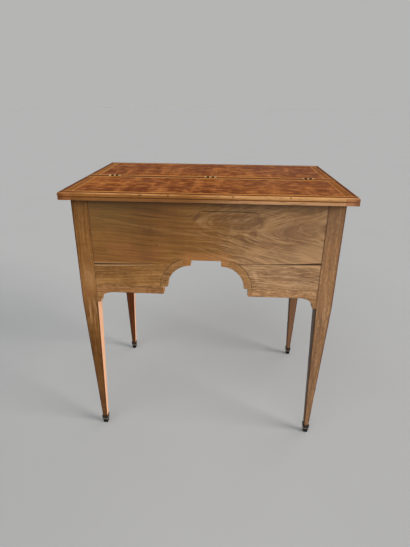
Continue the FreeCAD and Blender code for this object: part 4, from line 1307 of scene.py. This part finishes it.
class Tree:
    def __init__(self, name, inputs):
        self.group = bpy.data.node_groups.new(name, "GeometryNodeTree")
        for label, kind in inputs.items():
            self.group.interface.new_socket(label, in_out="INPUT", socket_type=f"NodeSocket{kind}")
        self.group.interface.new_socket("Geometry", in_out="OUTPUT", socket_type="NodeSocketGeometry")
        self.entry = self.group.nodes.new("NodeGroupInput")
        self.exit = self.group.nodes.new("NodeGroupOutput")

    def make(self, kind, settings=None, sockets=None, output=0):
        node = self.group.nodes.new(kind)
        for key, setting in (settings or {}).items():
            setattr(node, key, setting)
        for key, given in (sockets or {}).items():
            if isinstance(given, bpy.types.NodeSocket):
                self.group.links.new(given, node.inputs[key])
            else:
                node.inputs[key].default_value = given
        return node.outputs[output]

    def given(self, label):
        return self.entry.outputs[label]

    def move(self, geometry, **sockets):
        return self.make("GeometryNodeTransform", sockets={"Geometry": geometry, **sockets})

    def close(self, geometry):
        realized = self.make("GeometryNodeRealizeInstances", sockets={0: geometry})
        painted = self.make("GeometryNodeSetMaterial",
                            sockets={"Geometry": realized, "Material": self.given("Material")})
        self.group.links.new(painted, self.exit.inputs[0])


def grow(name, tree, values, body):
    blank = bpy.data.objects.new(name, bpy.data.meshes.new(name))
    bpy.context.collection.objects.link(blank)
    modifier = blank.modifiers.new("grow", "NODES")
    modifier.node_group = tree.group
    inputs = [item for item in tree.group.interface.items_tree if item.in_out == "INPUT"]
    labels = {item.name: item.identifier for item in inputs}
    for label, given in values.items():
        modifier[labels[label]] = given
    evaluated = blank.evaluated_get(bpy.context.evaluated_depsgraph_get())
    mesh = bpy.data.meshes.new_from_object(evaluated)
    blank.modifiers.clear()
    blank.data = mesh
    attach(blank, body)
    return blank


quarterTurn = math.radians(90)
eighthTurn = math.radians(45)


def frameTree():
    tree = Tree("inlaidString", {"Width": "Float", "Height": "Float", "LineWide": "Float", "Thick": "Float",
                                 "Place": "Vector", "Material": "Material"})
    path = tree.make("GeometryNodeCurvePrimitiveQuadrilateral", {"mode": "RECTANGLE"},
                     {"Width": tree.given("Width"), "Height": tree.given("Height")})
    profile = tree.make("GeometryNodeCurvePrimitiveQuadrilateral", {"mode": "RECTANGLE"},
                        {"Width": tree.given("LineWide"), "Height": tree.given("Thick")})
    line = tree.make("GeometryNodeCurveToMesh", sockets={"Curve": path, "Profile Curve": profile})
    tree.close(tree.move(line, Rotation=(quarterTurn, 0.0, 0.0), Translation=tree.given("Place")))
    return tree


# a row of dovetails from four-sided cones, squared, laid along the drawer's side and pressed flat
def tailTree():
    tree = Tree("dovetails", {"Count": "Int", "First": "Vector", "Step": "Vector", "Tip": "Float",
                              "Neck": "Float", "Deep": "Float", "Flat": "Vector", "Material": "Material"})
    points = tree.make("GeometryNodeMeshLine", {"mode": "OFFSET"},
                       {"Count": tree.given("Count"), "Start Location": tree.given("First"),
                        "Offset": tree.given("Step")})
    tail = tree.make("GeometryNodeMeshCone", {"fill_type": "NGON"},
                     {"Vertices": 4, "Radius Top": tree.given("Tip"), "Radius Bottom": tree.given("Neck"),
                      "Depth": tree.given("Deep")})
    squared = tree.move(tail, Rotation=(0.0, 0.0, eighthTurn))
    turned = tree.move(squared, Rotation=(quarterTurn, 0.0, 0.0))
    flat = tree.move(turned, Scale=tree.given("Flat"))
    tree.close(tree.make("GeometryNodeInstanceOnPoints", sockets={"Points": points, "Instance": flat}))
    return tree


drawerTrim = {
    "inset": 0.012, "lineWide": 0.0018, "proud": 0.00012, "sunk": 0.0006, "leastTails": 2,
    "tailPitch": 0.031, "tailDeep": 0.014, "tailWide": 0.019, "tailNeck": 0.013, "tailProud": 0.00015,
}


def buildString(hand, tree, material):
    trim = drawerTrim
    low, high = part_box(f"drawer_{hand}_front")
    thick = trim["proud"] + trim["sunk"]
    place = Vector(((low[0] + high[0]) / 2, low[1] - trim["proud"] + thick / 2, (low[2] + high[2]) / 2))
    line = grow(f"drawer_{hand}_string", tree,
                {"Width": high[0] - low[0] - trim["inset"] * 2,
                 "Height": high[2] - low[2] - trim["inset"] * 2,
                 "LineWide": trim["lineWide"], "Thick": thick, "Place": place, "Material": material},
                f"drawer_{hand}")
    line.data.polygons.foreach_set("use_smooth", [False] * len(line.data.polygons))


def buildTails(hand, tree, material):
    trim = drawerTrim
    low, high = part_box(f"drawer_{hand}_front")
    count = max(trim["leastTails"], int((high[2] - low[2]) / trim["tailPitch"]))
    pitch = (high[2] - low[2]) / count
    # a four-sided cone's radius runs to its corners
    tip = trim["tailWide"] / math.sqrt(2)
    neck = trim["tailNeck"] / math.sqrt(2)
    flat = Vector((trim["tailProud"] * 2 / trim["tailWide"], 1.0, 1.0))
    for end, x in (("a", low[0]), ("b", high[0])):
        first = Vector((x, high[1] - trim["tailDeep"] / 2, low[2] + pitch / 2))
        grow(f"drawer_{hand}_tails_{end}", tree,
             {"Count": count, "First": first, "Step": Vector((0.0, 0.0, pitch)), "Tip": tip, "Neck": neck,
              "Deep": trim["tailDeep"], "Flat": flat, "Material": material},
             f"drawer_{hand}")


def buildDrawerTrim():
    strings = frameTree()
    tails = tailTree()
    for hand in ("left", "right", "centre"):
        buildString(hand, strings, bpy.data.materials["stringWood"])
        buildTails(hand, tails, bpy.data.materials["innerWoodY"])


buildDrawerTrim()
print("drawer trim ready")
